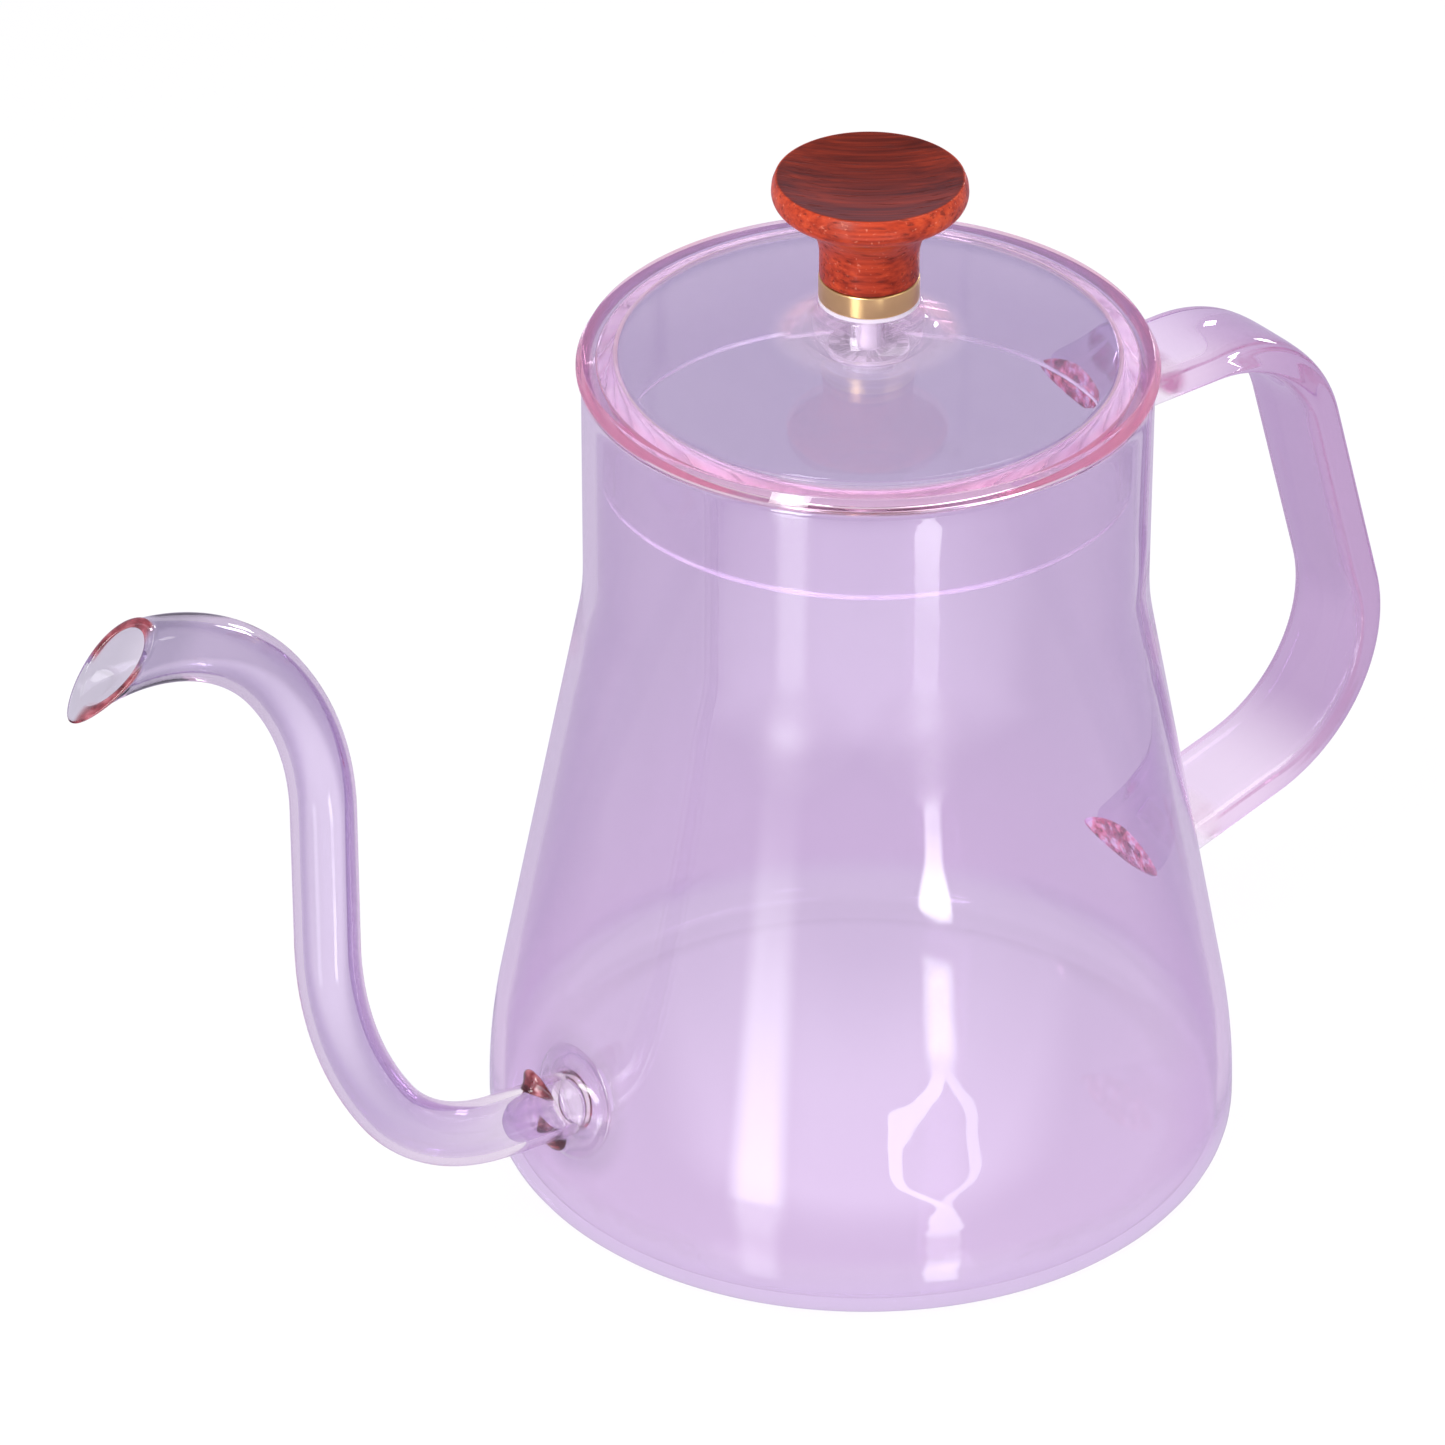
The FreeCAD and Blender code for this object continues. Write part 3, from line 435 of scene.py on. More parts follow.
class Graph:
    """A node tree in the making."""

    def __init__(self, tree):
        self.tree = tree

    def add(self, kind, settings=None, inputs=None, output=0):
        """Add a node: its type, its settings, then the values or wires of its sockets."""
        node = self.tree.nodes.new(kind)
        for name, value in (settings or {}).items():
            if name == "stops":
                self.set_stops(node.color_ramp, value)
            else:
                setattr(node, name, value)
        for name, value in (inputs or {}).items():
            socket = node.inputs[name]
            if isinstance(value, Wire):
                self.tree.links.new(value.socket, socket)
            else:
                socket.default_value = (*value, 1.0) if socket.type == "RGBA" else value
        return Wire(self, node.outputs[output]) if node.outputs else node

    def set_stops(self, ramp, stops):
        while len(ramp.elements) < len(stops):
            ramp.elements.new(1.0)
        for element, (position, colour) in zip(ramp.elements, stops):
            element.position = position
            element.color = (*colour, 1.0)

    def math(self, operation, *values):
        return self.add("ShaderNodeMath", {"operation": operation}, dict(enumerate(values)))

    def vector(self, operation, *values):
        return self.add("ShaderNodeVectorMath", {"operation": operation}, dict(enumerate(values)))

    def scaled(self, vector, factor):
        inputs = {"Vector": vector, "Scale": factor}
        return self.add("ShaderNodeVectorMath", {"operation": "SCALE"}, inputs)

    def dot(self, first, second):
        inputs = {0: first, 1: second}
        return self.add("ShaderNodeVectorMath", {"operation": "DOT_PRODUCT"}, inputs, "Value")

    def blend(self, factor, first, second):
        settings = {"data_type": "RGBA", "clamp_factor": True}
        return self.add("ShaderNodeMix", settings, {0: factor, 6: first, 7: second}, 2)

    def tinted(self, first, second):
        settings = {"data_type": "RGBA", "blend_type": "MULTIPLY"}
        return self.add("ShaderNodeMix", settings, {0: 1.0, 6: first, 7: second}, 2)

    def parts(self, vector):
        node = self.add("ShaderNodeSeparateXYZ", None, {"Vector": vector}).socket.node
        return [Wire(self, socket) for socket in node.outputs]

    def zone(self, value, low, high):
        """From nothing at low to one at high, with soft ends."""
        inputs = {"Value": value, "From Min": low, "From Max": high}
        return self.add("ShaderNodeMapRange", {"interpolation_type": "SMOOTHSTEP"}, inputs)

    def noise(self, vector, scale, detail=2.0, roughness=0.5):
        inputs = {"Vector": vector, "Scale": scale, "Detail": detail, "Roughness": roughness}
        return self.add("ShaderNodeTexNoise", None, inputs)

    def ramp(self, factor, stops):
        return self.add("ShaderNodeValToRGB", {"stops": stops}, {"Fac": factor})

    def bump(self, height, strength, distance):
        inputs = {"Height": height, "Strength": strength, "Distance": distance}
        return self.add("ShaderNodeBump", None, inputs)

    def principled(self, inputs):
        return self.add("ShaderNodeBsdfPrincipled", None, inputs)

    def mixed(self, factor, first, second):
        return self.add("ShaderNodeMixShader", None, {0: factor, 1: first, 2: second})

    def veil(self, tint):
        """A face that light passes straight, and takes a tint."""
        return self.add("ShaderNodeBsdfTransparent", None, {"Color": tint})

    def rays(self, kind):
        """One for rays of a kind, such as Camera or Glossy, and nothing for others."""
        return self.add("ShaderNodeLightPath", output=f"Is {kind} Ray")


# Geometry nodes

def new_tree(name, numbers=()):
    """A modifier's tree with a mesh going in, a count of steps, named numbers and a material, and a mesh
    coming out."""
    tree = bpy.data.node_groups.new(name, "GeometryNodeTree")
    kinds = {"Geometry": "Geometry", "Steps": "Int", **dict.fromkeys(numbers, "Float")}
    kinds["Material"] = "Material"
    for label, kind in kinds.items():
        tree.interface.new_socket(name=label, in_out="INPUT", socket_type=f"NodeSocket{kind}")
    tree.interface.new_socket(name="Geometry", in_out="OUTPUT", socket_type="NodeSocketGeometry")
    graph = Graph(tree)
    entry = tree.nodes.new("NodeGroupInput")
    return graph, {socket.name: Wire(graph, socket) for socket in entry.outputs if socket.name}


def finish_tree(graph, mesh, material):
    """Close seams and poles, smooth the faces and give them their material."""
    merged = graph.add("GeometryNodeMergeByDistance", None, {"Geometry": mesh, "Distance": MERGE_DISTANCE})
    smooth = graph.add("GeometryNodeSetShadeSmooth", None, {"Geometry": merged})
    real = graph.add("GeometryNodeRealizeInstances", None, {"Geometry": smooth})
    painted = graph.add("GeometryNodeSetMaterial", None, {"Geometry": real, "Material": material})
    graph.add("NodeGroupOutput", None, {"Geometry": painted})
    return graph.tree


def lattice(graph, given):
    """A grid with one row for each point of the outline that goes in and one column for each step round.
    With it come a way to read what a grid point's row says, and its angle round."""
    outline = given["Geometry"]
    steps = given["Steps"]
    rows = graph.add("GeometryNodeAttributeDomainSize", {"component": "MESH"}, {"Geometry": outline})
    grid = graph.add("GeometryNodeMeshGrid", None, {"Vertices X": steps + 1, "Vertices Y": rows})
    index = graph.add("GeometryNodeInputIndex")
    column = graph.math("FLOOR", index / rows)
    row = index - column * rows

    def read(value, kind="FLOAT_VECTOR"):
        settings = {"data_type": kind, "domain": "POINT"}
        inputs = {"Geometry": outline, "Value": value, "Index": row}
        return graph.add("GeometryNodeSampleIndex", settings, inputs)

    return grid, read, column * (2 * pi) / steps


def turned_tree():
    """An outline in the XZ plane, turned about Z."""
    graph, given = new_tree("turned")
    grid, read, angle = lattice(graph, given)
    inputs = {"Vector": read(graph.add("GeometryNodeInputPosition")), "Angle": angle}
    turned = graph.add("ShaderNodeVectorRotate", {"rotation_type": "Z_AXIS"}, inputs)
    mesh = graph.add("GeometryNodeSetPosition", None, {"Geometry": grid, "Position": turned})
    return finish_tree(graph, mesh, given["Material"])


def swept_tree():
    """A section carried along a spine in the XZ plane. Each point of the spine says which way the
    section's height points and which way is ahead, how high and wide the section is, how far its end leans
    and hugs a round wall, how much of the slanted mouth's cut it takes, and whether it is on the outside.
    The cut follows the bend of the last arch."""
    graph, given = new_tree("swept", ("Squareness", "Last Bend", "Mouth Angle"))
    grid, read, angle = lattice(graph, given)

    def named(name, kind="FLOAT"):
        settings = {"data_type": kind}
        return read(graph.add("GeometryNodeInputNamedAttribute", settings, {"Name": name}), kind)

    def squared(value):
        return graph.math("SIGN", value) * graph.math("POWER", abs(value), given["Squareness"])

    up = squared(graph.math("COSINE", angle)) * named("high")
    out = squared(graph.math("SINE", angle)) * named("wide")
    bend = given["Last Bend"]
    spoke = bend + up
    slant = given["Mouth Angle"]
    reach = slant - graph.math("ARCCOSINE", graph.math("COSINE", slant) * bend / spoke)
    turn = reach * named("cut")
    fitted = up * named("lean") + out * out * named("hug")
    ahead = graph.math("SINE", turn) * spoke + fitted
    rise = graph.math("COSINE", turn) * spoke - bend
    point = read(graph.add("GeometryNodeInputPosition"))
    for way, share in (("normal_way", rise), ("ahead_way", ahead)):
        point = graph.vector("ADD", point, graph.scaled(named(way, "FLOAT_VECTOR"), share))
    placed = graph.vector("ADD", point, graph.add("ShaderNodeCombineXYZ", None, {"Y": out}))
    moved = graph.add("GeometryNodeSetPosition", None, {"Geometry": grid, "Position": placed})
    settings = {"data_type": "FLOAT", "domain": "POINT"}
    inputs = {"Geometry": moved, "Name": "skin", "Value": named("skin")}
    mesh = graph.add("GeometryNodeStoreNamedAttribute", settings, inputs)
    return finish_tree(graph, mesh, given["Material"])


def bead_tree():
    """A ring of fused glass round a tube that stands on a wall. Its section is drawn for a bead of size
    one, and swells at the top and at the bottom of the ring."""
    graph, given = new_tree("bead", ("Tube", "Bead", "Top", "Bottom", "Lean", "Hug"))
    grid, read, angle = lattice(graph, given)
    along, _, outward = graph.parts(read(graph.add("GeometryNodeInputPosition")))
    rise = graph.math("COSINE", angle)
    top = graph.math("MAXIMUM", rise, 0.0) ** DROP_NARROWNESS
    bottom = graph.math("MAXIMUM", -1.0 * rise, 0.0) ** DROP_NARROWNESS
    bead = given["Bead"] + top * given["Top"] + bottom * given["Bottom"]
    radius = given["Tube"] + outward * bead
    up = radius * rise
    side = radius * graph.math("SINE", angle)
    ahead = along * bead + up * given["Lean"] + side * side * given["Hug"]
    placed = graph.add("ShaderNodeCombineXYZ", None, {"X": ahead, "Y": side, "Z": up})
    mesh = graph.add("GeometryNodeSetPosition", None, {"Geometry": grid, "Position": placed})
    return finish_tree(graph, mesh, given["Material"])


def grow(name, tree, settings, points, attributes=None):
    """Run a tree on a row of points and keep the result as a plain mesh."""
    mesh = bpy.data.meshes.new(name)
    mesh.from_pydata(points, [(i, i + 1) for i in range(len(points) - 1)], [])
    for label, (kind, values) in (attributes or {}).items():
        layer = mesh.attributes.new(label, kind, "POINT")
        field = "vector" if kind == "FLOAT_VECTOR" else "value"
        for item, value in zip(layer.data, values):
            setattr(item, field, value)
    piece = bpy.data.objects.new(name, mesh)
    bpy.context.scene.collection.objects.link(piece)
    modifier = piece.modifiers.new("grow", "NODES")
    modifier.node_group = tree
    for socket in tree.interface.items_tree:
        if socket.in_out == "INPUT" and socket.name in settings:
            modifier[socket.identifier] = settings[socket.name]
    keep_mesh(piece)
    face_outwards(piece.data)
    return piece


def keep_mesh(piece):
    """Turn what a piece's modifiers make into its own mesh."""
    graph = bpy.context.evaluated_depsgraph_get()
    solid = bpy.data.meshes.new_from_object(piece.evaluated_get(graph))
    piece.modifiers.clear()
    piece.data = solid


def face_outwards(mesh):
    work = bmesh.new()
    work.from_mesh(mesh)
    bmesh.ops.recalc_face_normals(work, faces=work.faces)
    if work.calc_volume(signed=True) < 0:
        bmesh.ops.reverse_faces(work, faces=work.faces)
    work.to_mesh(mesh)
    work.free()


# Outlines

def rounded(corners, closed=False):
    """Points along straight runs between corners (x, y, radius), with an arc where there is a radius."""
    points = []
    count = len(corners)
    for number, (x, y, radius) in enumerate(corners):
        here = Vector((x, y))
        if not radius:
            points.append(here)
            continue
        before = (Vector(corners[number - 1][:2]) - here).normalized()
        after = (Vector(corners[(number + 1) % count][:2]) - here).normalized()
        half = acos(max(-1.0, min(1.0, before.dot(after)))) / 2
        centre = here + (before + after).normalized() * (radius / sin(half))
        spoke = here + before * (radius / tan(half)) - centre
        turn = pi - 2 * half
        if before.cross(after) > 0:
            turn = -turn
        steps = ceil(max(abs(turn) / FACET_TURN, abs(turn) * radius / FACET_LENGTH))
        for step in range(steps + 1):
            points.append(centre + Matrix.Rotation(turn * step / steps, 2) @ spoke)
    if closed:
        points.append(points[0].copy())
    return divided(points)


def divided(points):
    """The same line with no stretch longer than a facet."""
    fine = [points[0]]
    for start, end in zip(points, points[1:]):
        steps = max(1, ceil((end - start).length / FACET_LENGTH))
        fine += [start.lerp(end, step / steps) for step in range(1, steps + 1)]
    return fine


def upright(points):
    """Points of an outline, across and up, as points of the XZ plane."""
    return [(point.x, 0.0, point.y) for point in points]


def turned(name, corners, material, closed=False, steps=TURNED_STEPS):
    settings = {"Steps": steps, "Material": material}
    return grow(name, TURNED, settings, upright(rounded(corners, closed)))


def wear(piece, body, slot, *nodes):
    """Put a finished piece in place of the solids that it stands for."""
    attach(piece, body)
    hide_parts(*nodes)
    return piece


def paint(node, material):
    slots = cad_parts[node].data.materials
    slots.clear()
    slots.append(material)


# Materials

def new_material(name):
    material = bpy.data.materials.new(name)
    material.use_nodes = True
    material.node_tree.nodes.clear()
    return material, Graph(material.node_tree)


def object_place(graph):
    return graph.add("ShaderNodeTexCoord", output="Object")


def outer_skin(graph):
    """One on the outside of a hollow piece and nothing on its inside."""
    return graph.add("ShaderNodeAttribute", {"attribute_name": "skin"}, None, "Fac")


def glass(name, tint, shade, density, ripple, ripple_size, calm=None, edge=None, core=None, still=None,
          dull=None):
    """Tinted glass that takes green and blue out of what passes a long way through it. Its face is gently
    rippled and carries faint smears, and lamps shine through it. The tint is a colour for each place, and
    the edge is how much it deepens, on the outside, where the eye looks along a wall. A core is where fused
    glass is too dense to look into; its glow is painted light, and its palest stops can be a painted
    highlight. Still is how much of a place lets light pass straight, with the tints that it then takes
    inside and outside, and dull is how much rougher a place is."""
    material, graph = new_material(name)
    place = object_place(graph)
    streak = graph.noise(place, STREAK_SCALE, 3.0)
    face = graph.blend(streak * STREAK_SHARE, tint(graph, place), shade)
    if edge:
        depth, start, full = edge
        along = graph.add("ShaderNodeLayerWeight", None, {"Blend": 0.5}, "Facing")
        deepened = graph.zone(along, start, full) * outer_skin(graph) * depth
        cubed = graph.tinted(face, graph.tinted(face, face))
        face = graph.blend(deepened, face, cubed)
    smear = graph.zone(graph.noise(place, SMEAR_SCALE, 6.0), *SMEARS)
    roughness = smear * SMEAR_ROUGHNESS
    if dull:
        roughness = roughness + dull(graph, place)
    waves = graph.noise(place, 1.0 / ripple_size, 1.5)
    if calm:
        waves = waves * calm(graph, place)
    bump = graph.bump(waves, 1.0, ripple)
    shader = graph.principled({
        "Base Color": face, "Roughness": roughness, "IOR": GLASS_IOR, "Transmission Weight": 1.0,
        "Normal": bump})
    if still:
        mask, inside, outside = still
        straight = graph.mixed(outer_skin(graph), graph.veil(inside), graph.veil(outside))
        behind = graph.add("ShaderNodeNewGeometry", output="Backfacing")
        glint = graph.add("ShaderNodeFresnel", None, {"IOR": GLASS_IOR}) * (1.0 - behind)
        gloss = graph.add("ShaderNodeBsdfGlossy", None, {"Roughness": SMEAR_ROUGHNESS})
        shader = graph.mixed(mask(graph, place), shader, graph.mixed(glint, straight, gloss))
    if core:
        amount, stops, glow, grain = core
        patch = graph.ramp(graph.noise(place, 1.0 / grain, 3.0), stops)
        dense = graph.principled({
            "Base Color": patch, "Roughness": CORE_ROUGHNESS + smear * CORE_SMEARS, "Emission Color": patch,
            "Emission Strength": glow, "Normal": bump})
        shader = graph.mixed(amount(graph, place), shader, dense)
    clear = graph.veil([sqrt(part) for part in shade])
    depth = graph.add("ShaderNodeVolumeAbsorption", None, {"Color": PINK_DEPTH, "Density": density})
    surface = graph.mixed(graph.rays("Shadow"), shader, clear)
    graph.add("ShaderNodeOutputMaterial", None, {"Surface": surface, "Volume": depth})
    return material


def distance(graph, place, *centre):
    return graph.add("ShaderNodeVectorMath", {"operation": "DISTANCE"}, {0: place, 1: centre}, "Value")


def from_axis(graph, place):
    across, deep, height = graph.parts(place)
    return graph.math("SQRT", across * across + deep * deep), height


def from_mouth(graph, place, way):
    """How far a place is from the middle of the spout's mouth, along a direction."""
    return graph.dot(graph.vector("SUBTRACT", place, tuple(MOUTH_MIDDLE)), way)


def along_strap(graph, place, shift):
    """How far out a place on the strap is, less a shift along the lower run."""
    across, _, height = graph.parts(place)
    return across - graph.zone(height, *LOWER_RUN) * shift


def vessel_still(graph, place):
    """The heel, the underside, and the flare of the spout's hole."""
    radius, height = from_axis(graph, place)
    heel = graph.zone(height, *HEEL_HEIGHTS) * graph.zone(radius, *HEEL_REACH)
    under = graph.zone(height, *UNDERSIDE)
    root = graph.zone(distance(graph, place, -BASE_RADIUS, 0.0, ROOT_HEIGHT), *HOLE_FLARE)
    return graph.math("MAXIMUM", heel, under) * HEEL_STILL + root * HOLE_STILL


def vessel_dull(graph, place):
    """Two smears on the shoulder, where a clear face would gather each strip of light into a spot."""
    smears = [
        graph.zone(distance(graph, place, sin(turn) * NECK_RADIUS, -cos(turn) * NECK_RADIUS, DULL_HEIGHT),
                   *DULL_REACH)
        for turn in DULL_TURNS]
    return graph.math("MAXIMUM", *smears) * DULL_ROUGHNESS


def lid_still(graph, place):
    """The boss under the knob."""
    radius, _ = from_axis(graph, place)
    return graph.zone(radius, *BOSS_REACH) * BOSS_STILL


def strap_still(graph, place):
    """The two ends, which melt into the wall."""
    return graph.zone(along_strap(graph, place, STRAP_END_SHIFT), *STRAP_END) * STRAP_STILL


def bead_zone(graph, place):
    """The two drops of fused glass, above and below the spout's root."""
    _, _, height = graph.parts(place)
    return graph.zone(abs(height - DROPS_MIDDLE), *DROPS)


def bead_tint(graph, place):
    return graph.blend(bead_zone(graph, place), SKIRT_TINT, WELD_TINT)


def bead_core(graph, place):
    return graph.zone(graph.noise(place, DROP_GRAIN), *DROP_DENSE) * DROP_CORE * bead_zone(graph, place)


def bead_still(graph, place):
    return (1.0 - bead_zone(graph, place)) * BEAD_STILL


def collar_still(graph, place):
    return COLLAR_STILL + graph.noise(place, COLLAR_GRAIN) * COLLAR_PATCHES


# Patches where the lens shows painted glints and glows with painted light
def glowing_lens_core(graph, place):
    return graph.zone(graph.noise(place, LENS_GRAIN), *LENS_DENSE) * LENS_CORE


def lip_patches(graph, place):
    """Where the lip is red: high on its far side and low on its near side."""
    uphill = from_mouth(graph, place, MOUTH_UPHILL)
    _, side, _ = graph.parts(place)
    return graph.zone(uphill * (side / SPOUT_RADIUS + LIP_FAR_SHARE), *LIP_RED)


def lip_core(graph, place):
    dense = graph.zone(from_mouth(graph, place, MOUTH_WAY), *LIP_DENSE)
    return dense * lip_patches(graph, place) * LIP_CORE


def painted_foot_highlight(graph, place):
    """A painted highlight: the skirt's foot drawn as a bright pale line."""
    _, height = from_axis(graph, place)
    return graph.zone(height, *SKIRT_FOOT_HIGHLIGHT) * FOOT_HIGHLIGHT_SHARE


def vessel_tint(graph, place):
    """Lavender walls, pinker low down, and a clear floor."""
    _, _, height = graph.parts(place)
    wall = graph.blend(graph.zone(height, *BELLY_PINK), WALL_TINT, BELLY_TINT)
    return graph.blend(graph.zone(height, *FLOOR_CLEAR), wall, FLOOR_TINT)


def vessel_calm(graph, place):
    """The wall ripples more at the shoulder and towards the heel."""
    _, _, height = graph.parts(place)
    shoulder = graph.zone(abs(height - SHOULDER_MIDDLE), *SHOULDER_WAVES)
    return NECK_RIPPLE + graph.zone(height, *BELLY_WAVES) + shoulder * SHOULDER_RIPPLE


def lid_tint(graph, place):
    """A lavender dome, a clear skirt and boss, and a patchy pink rim bead."""
    radius, height = from_axis(graph, place)
    skirt = graph.zone(height, *SKIRT_CLEAR)
    body = graph.blend(skirt, DOME_TINT, SKIRT_TINT)
    clear = graph.blend(graph.zone(radius, *BOSS_PALE), body, SKIRT_TINT)
    patch = graph.zone(graph.noise(place, RIM_GRAIN), *RIM_PATCHES)
    rim = graph.zone(radius, *RIM_PINK) * (1.0 - skirt)
    return graph.blend(rim, clear, graph.blend(patch, RIM_PALE, RIM_TINT))


def spout_tint(graph, place):
    """Lavender tube, paler along its foot and where it stands before the vessel, deeper in its arch and
    grey in its mouth, with a deep pink fire-polished lip."""
    across, _, height = graph.parts(place)
    beyond = from_mouth(graph, place, MOUTH_WAY)
    foot = graph.blend(graph.zone(height, *TUBE_FOOT), TUBE_TINT, TUBE_FOOT_TINT)
    low = graph.blend(graph.zone(across, *TUBE_ROOT), foot, TUBE_ROOT_TINT)
    tube = graph.blend(graph.zone(height, *TUBE_ARCH), low, ARCH_TINT)
    grey = graph.blend(graph.zone(beyond, *MOUTH_GREY), tube, MOUTH_TINT)
    return graph.blend(graph.zone(beyond, *LIP_PINK) * lip_patches(graph, place), grey, LIP_TINT)


def strap_tint(graph, place):
    """Lavender strap that pales towards its two roots, and sooner towards the lower one."""
    pale = graph.zone(along_strap(graph, place, STRAP_PALE_SHIFT), *STRAP_PALE)
    return graph.blend(pale, STRAP_TINT, STRAP_ROOT_TINT)


def plain_tint(tint):
    return lambda graph, place: tint


def output(graph, shader):
    graph.add("ShaderNodeOutputMaterial", None, {"Surface": shader})


def wood():
    """Oiled red hardwood: straight grain across the knob, short pores, pale flecks, and painted shade that
    darkens the dished top."""
    material, graph = new_material("oiled_red_wood")
    place = object_place(graph)
    centred = graph.add("ShaderNodeMapping", None, {
        "Vector": place, "Location": GRAIN_START, "Rotation": (0.0, 0.0, GRAIN_TURN)})

    def drawn_out(along, across, detail, roughness=0.5):
        stretched = graph.vector("MULTIPLY", centred, (along, across, across))
        return graph.noise(stretched, 1.0, detail, roughness)

    broad = drawn_out(*WOOD_BROAD)
    fine = drawn_out(*WOOD_FINE)
    pores = graph.zone(drawn_out(*WOOD_PORES), *PORES)
    figure = broad * 0.5 + fine * 0.5
    radius, height = from_axis(graph, place)
    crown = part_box("knob")[1].z
    # Painted shade darkens the dished top
    top = graph.zone(height, *[crown - depth for depth in SHADED_DISH_DEPTHS]) * graph.zone(radius, *SHADED_DISH_REACH)
    flecks = graph.zone(graph.noise(place, FLECK_GRAIN), *FLECKS) * (1.0 - top)
    grain = graph.blend(top, graph.ramp(figure, WOOD_STOPS), graph.ramp(figure, WOOD_SHADED_TOP_STOPS))
    body = graph.blend(pores * 0.6, grain, WOOD_PORE)
    output(graph, graph.principled({
        "Base Color": graph.blend(flecks * 0.5, body, WOOD_FLECK),
        "Roughness": 0.33 + pores * 0.25 + fine * 0.08, "Coat Weight": 0.08 - flecks * 0.06,
        "Coat Roughness": 0.2, "Specular IOR Level": 0.15,
        "Normal": graph.bump(fine - pores * 0.8 + flecks * 0.6, 0.35, 0.1 * MM)}))
    return material


def satin_metal(name, base, shade, metal, roughness, groove):
    """Turned metal: fine grooves round the axis, and a patchy tone."""
    material, graph = new_material(name)
    place = object_place(graph)
    lathe = graph.noise(graph.vector("MULTIPLY", place, LATHE_MARKS), 1.0, 3.0)
    patch = graph.noise(place, METAL_GRAIN, 4.0)
    output(graph, graph.principled({
        "Base Color": graph.blend(patch * 0.4 + lathe * 0.3, base, shade), "Metallic": metal,
        "Roughness": roughness + patch * 0.06, "Normal": graph.bump(lathe, 0.25, groove)}))
    return material


def silicone():
    """Milky soft washer that lets some light through, with a fine moulded skin and a faint painted glow that
    lightens it in the knob's shade.
    """
    material, graph = new_material("milky_silicone")
    place = object_place(graph)
    cloud = graph.noise(place, CLOUD_GRAIN, 4.0)
    face = graph.blend(cloud, SILICONE_PALE, SILICONE_SHADE)
    output(graph, graph.principled({
        "Base Color": face, "Roughness": 0.3 + cloud * 0.1, "Transmission Weight": 0.3, "IOR": SILICONE_IOR,
        # Painted glow: the washer gives off a little of its own colour
        "Emission Color": face, "Emission Strength": 0.1,
        "Normal": graph.bump(graph.noise(place, SKIN_GRAIN), 0.2, 0.04 * MM)}))
    return material


# Vessel

def wall_corners(inset, floor, heel):
    """Half the section of one face of the wall, from the axis at the floor up to the rim."""
    base = BASE_RADIUS - inset
    neck = NECK_RADIUS - inset
    belly = BELLY_RADIUS - inset
    shoulder = SHOULDER_RADIUS + inset
    rise = SHOULDER_HEIGHT - HEEL_RADIUS
    step = base - neck
    both = 2 * (belly + shoulder) - step
    half_lean = (rise - sqrt(rise * rise - step * both)) / both
    return [
        (0.0, floor, 0.0),
        (base, floor, heel),
        (base, HEEL_RADIUS + belly * half_lean, belly),
        (neck, SHOULDER_HEIGHT - shoulder * half_lean, shoulder),
        (neck, RIM_HEIGHT, RIM_ROUND),
    ]


def wall_at(height):
    """How far the belly's outside is from the axis at a height."""
    return BASE_RADIUS - BELLY_RADIUS + sqrt(BELLY_RADIUS ** 2 - (height - HEEL_RADIUS) ** 2)


def root_matrix():
    """From a frame whose X axis runs out along the spout's root, with its origin on the wall."""
    place = Matrix.Translation((-wall_at(ROOT_HEIGHT), 0.0, ROOT_HEIGHT))
    return place @ Matrix.Rotation(pi, 4, "Z") @ Matrix.Rotation(-ROOT_RISE, 4, "Y")


def mark_skin(mesh):
    """Note which points are on the outside: they face away from the axis, or down."""
    layer = mesh.attributes.new("skin", "FLOAT", "POINT")
    for vertex, item in zip(mesh.vertices, layer.data):
        outward = Vector((vertex.co.x, vertex.co.y, -BASE_RADIUS))
        item.value = 1.0 if vertex.normal.dot(outward) > 0 else 0.0


def make_vessel(material):
    outside = wall_corners(0.0, 0.0, HEEL_RADIUS)
    inside = wall_corners(GLASS_WALL, FLOOR_THICKNESS, INNER_HEEL_RADIUS)
    vessel = turned("vessel_glass", outside + inside[::-1], material)
    # The hole for the spout, which flares towards the inside of the wall
    wide = SPOUT_BORE + ROOT_FLARE_REACH
    flare = [
        (0.0, HOLE_DEPTH, 0.0),
        (SPOUT_BORE, HOLE_DEPTH, 0.0),
        (SPOUT_BORE, -ROOT_FLARE_START, ROOT_FLARE),
        (wide, -GLASS_WALL, 0.0),
        (wide, -HOLE_DEPTH, 0.0),
        (0.0, -HOLE_DEPTH, 0.0),
    ]
    cutter = turned("spout_hole", flare, material, steps=TUBE_STEPS)
    cutter.data.transform(root_matrix() @ Matrix.Rotation(pi / 2, 4, "Y"))
    hole = vessel.modifiers.new("hole", "BOOLEAN")
    hole.operation = "DIFFERENCE"
    hole.object = cutter
    keep_mesh(vessel)
    bpy.data.objects.remove(cutter)
    vessel.data.set_sharp_from_angle(angle=SHARP_TURN)
    mark_skin(vessel.data)
    return wear(vessel, "kettle", "vessel_glass", "vessel")


# Spout and handle

class Trail:
    """A line of straight runs and bends in the XZ plane, with its heading at each point."""

    def __init__(self, x, z, heading):
        self.points = [(x, z, heading)]

    def run(self, length):
        x, z, heading = self.points[-1]
        steps = max(1, ceil(length / FACET_LENGTH))
        for step in range(1, steps + 1):
            part = length * step / steps
            self.points.append((x + part * cos(heading), z + part * sin(heading), heading))

    def bend(self, radius, turn):
        """Turn left through an angle, or right where the angle is negative."""
        x, z, heading = self.points[-1]
        side = 1.0 if turn > 0 else -1.0
        centre = (x - side * radius * sin(heading), z + side * radius * cos(heading))
        steps = ceil(max(abs(turn) / BEND_TURN, abs(turn) * radius / FACET_LENGTH))
        for step in range(1, steps + 1):
            way = heading + turn * step / steps
            spoke = (side * radius * sin(way), side * radius * cos(way))
            self.points.append((centre[0] + spoke[0], centre[1] - spoke[1], way))


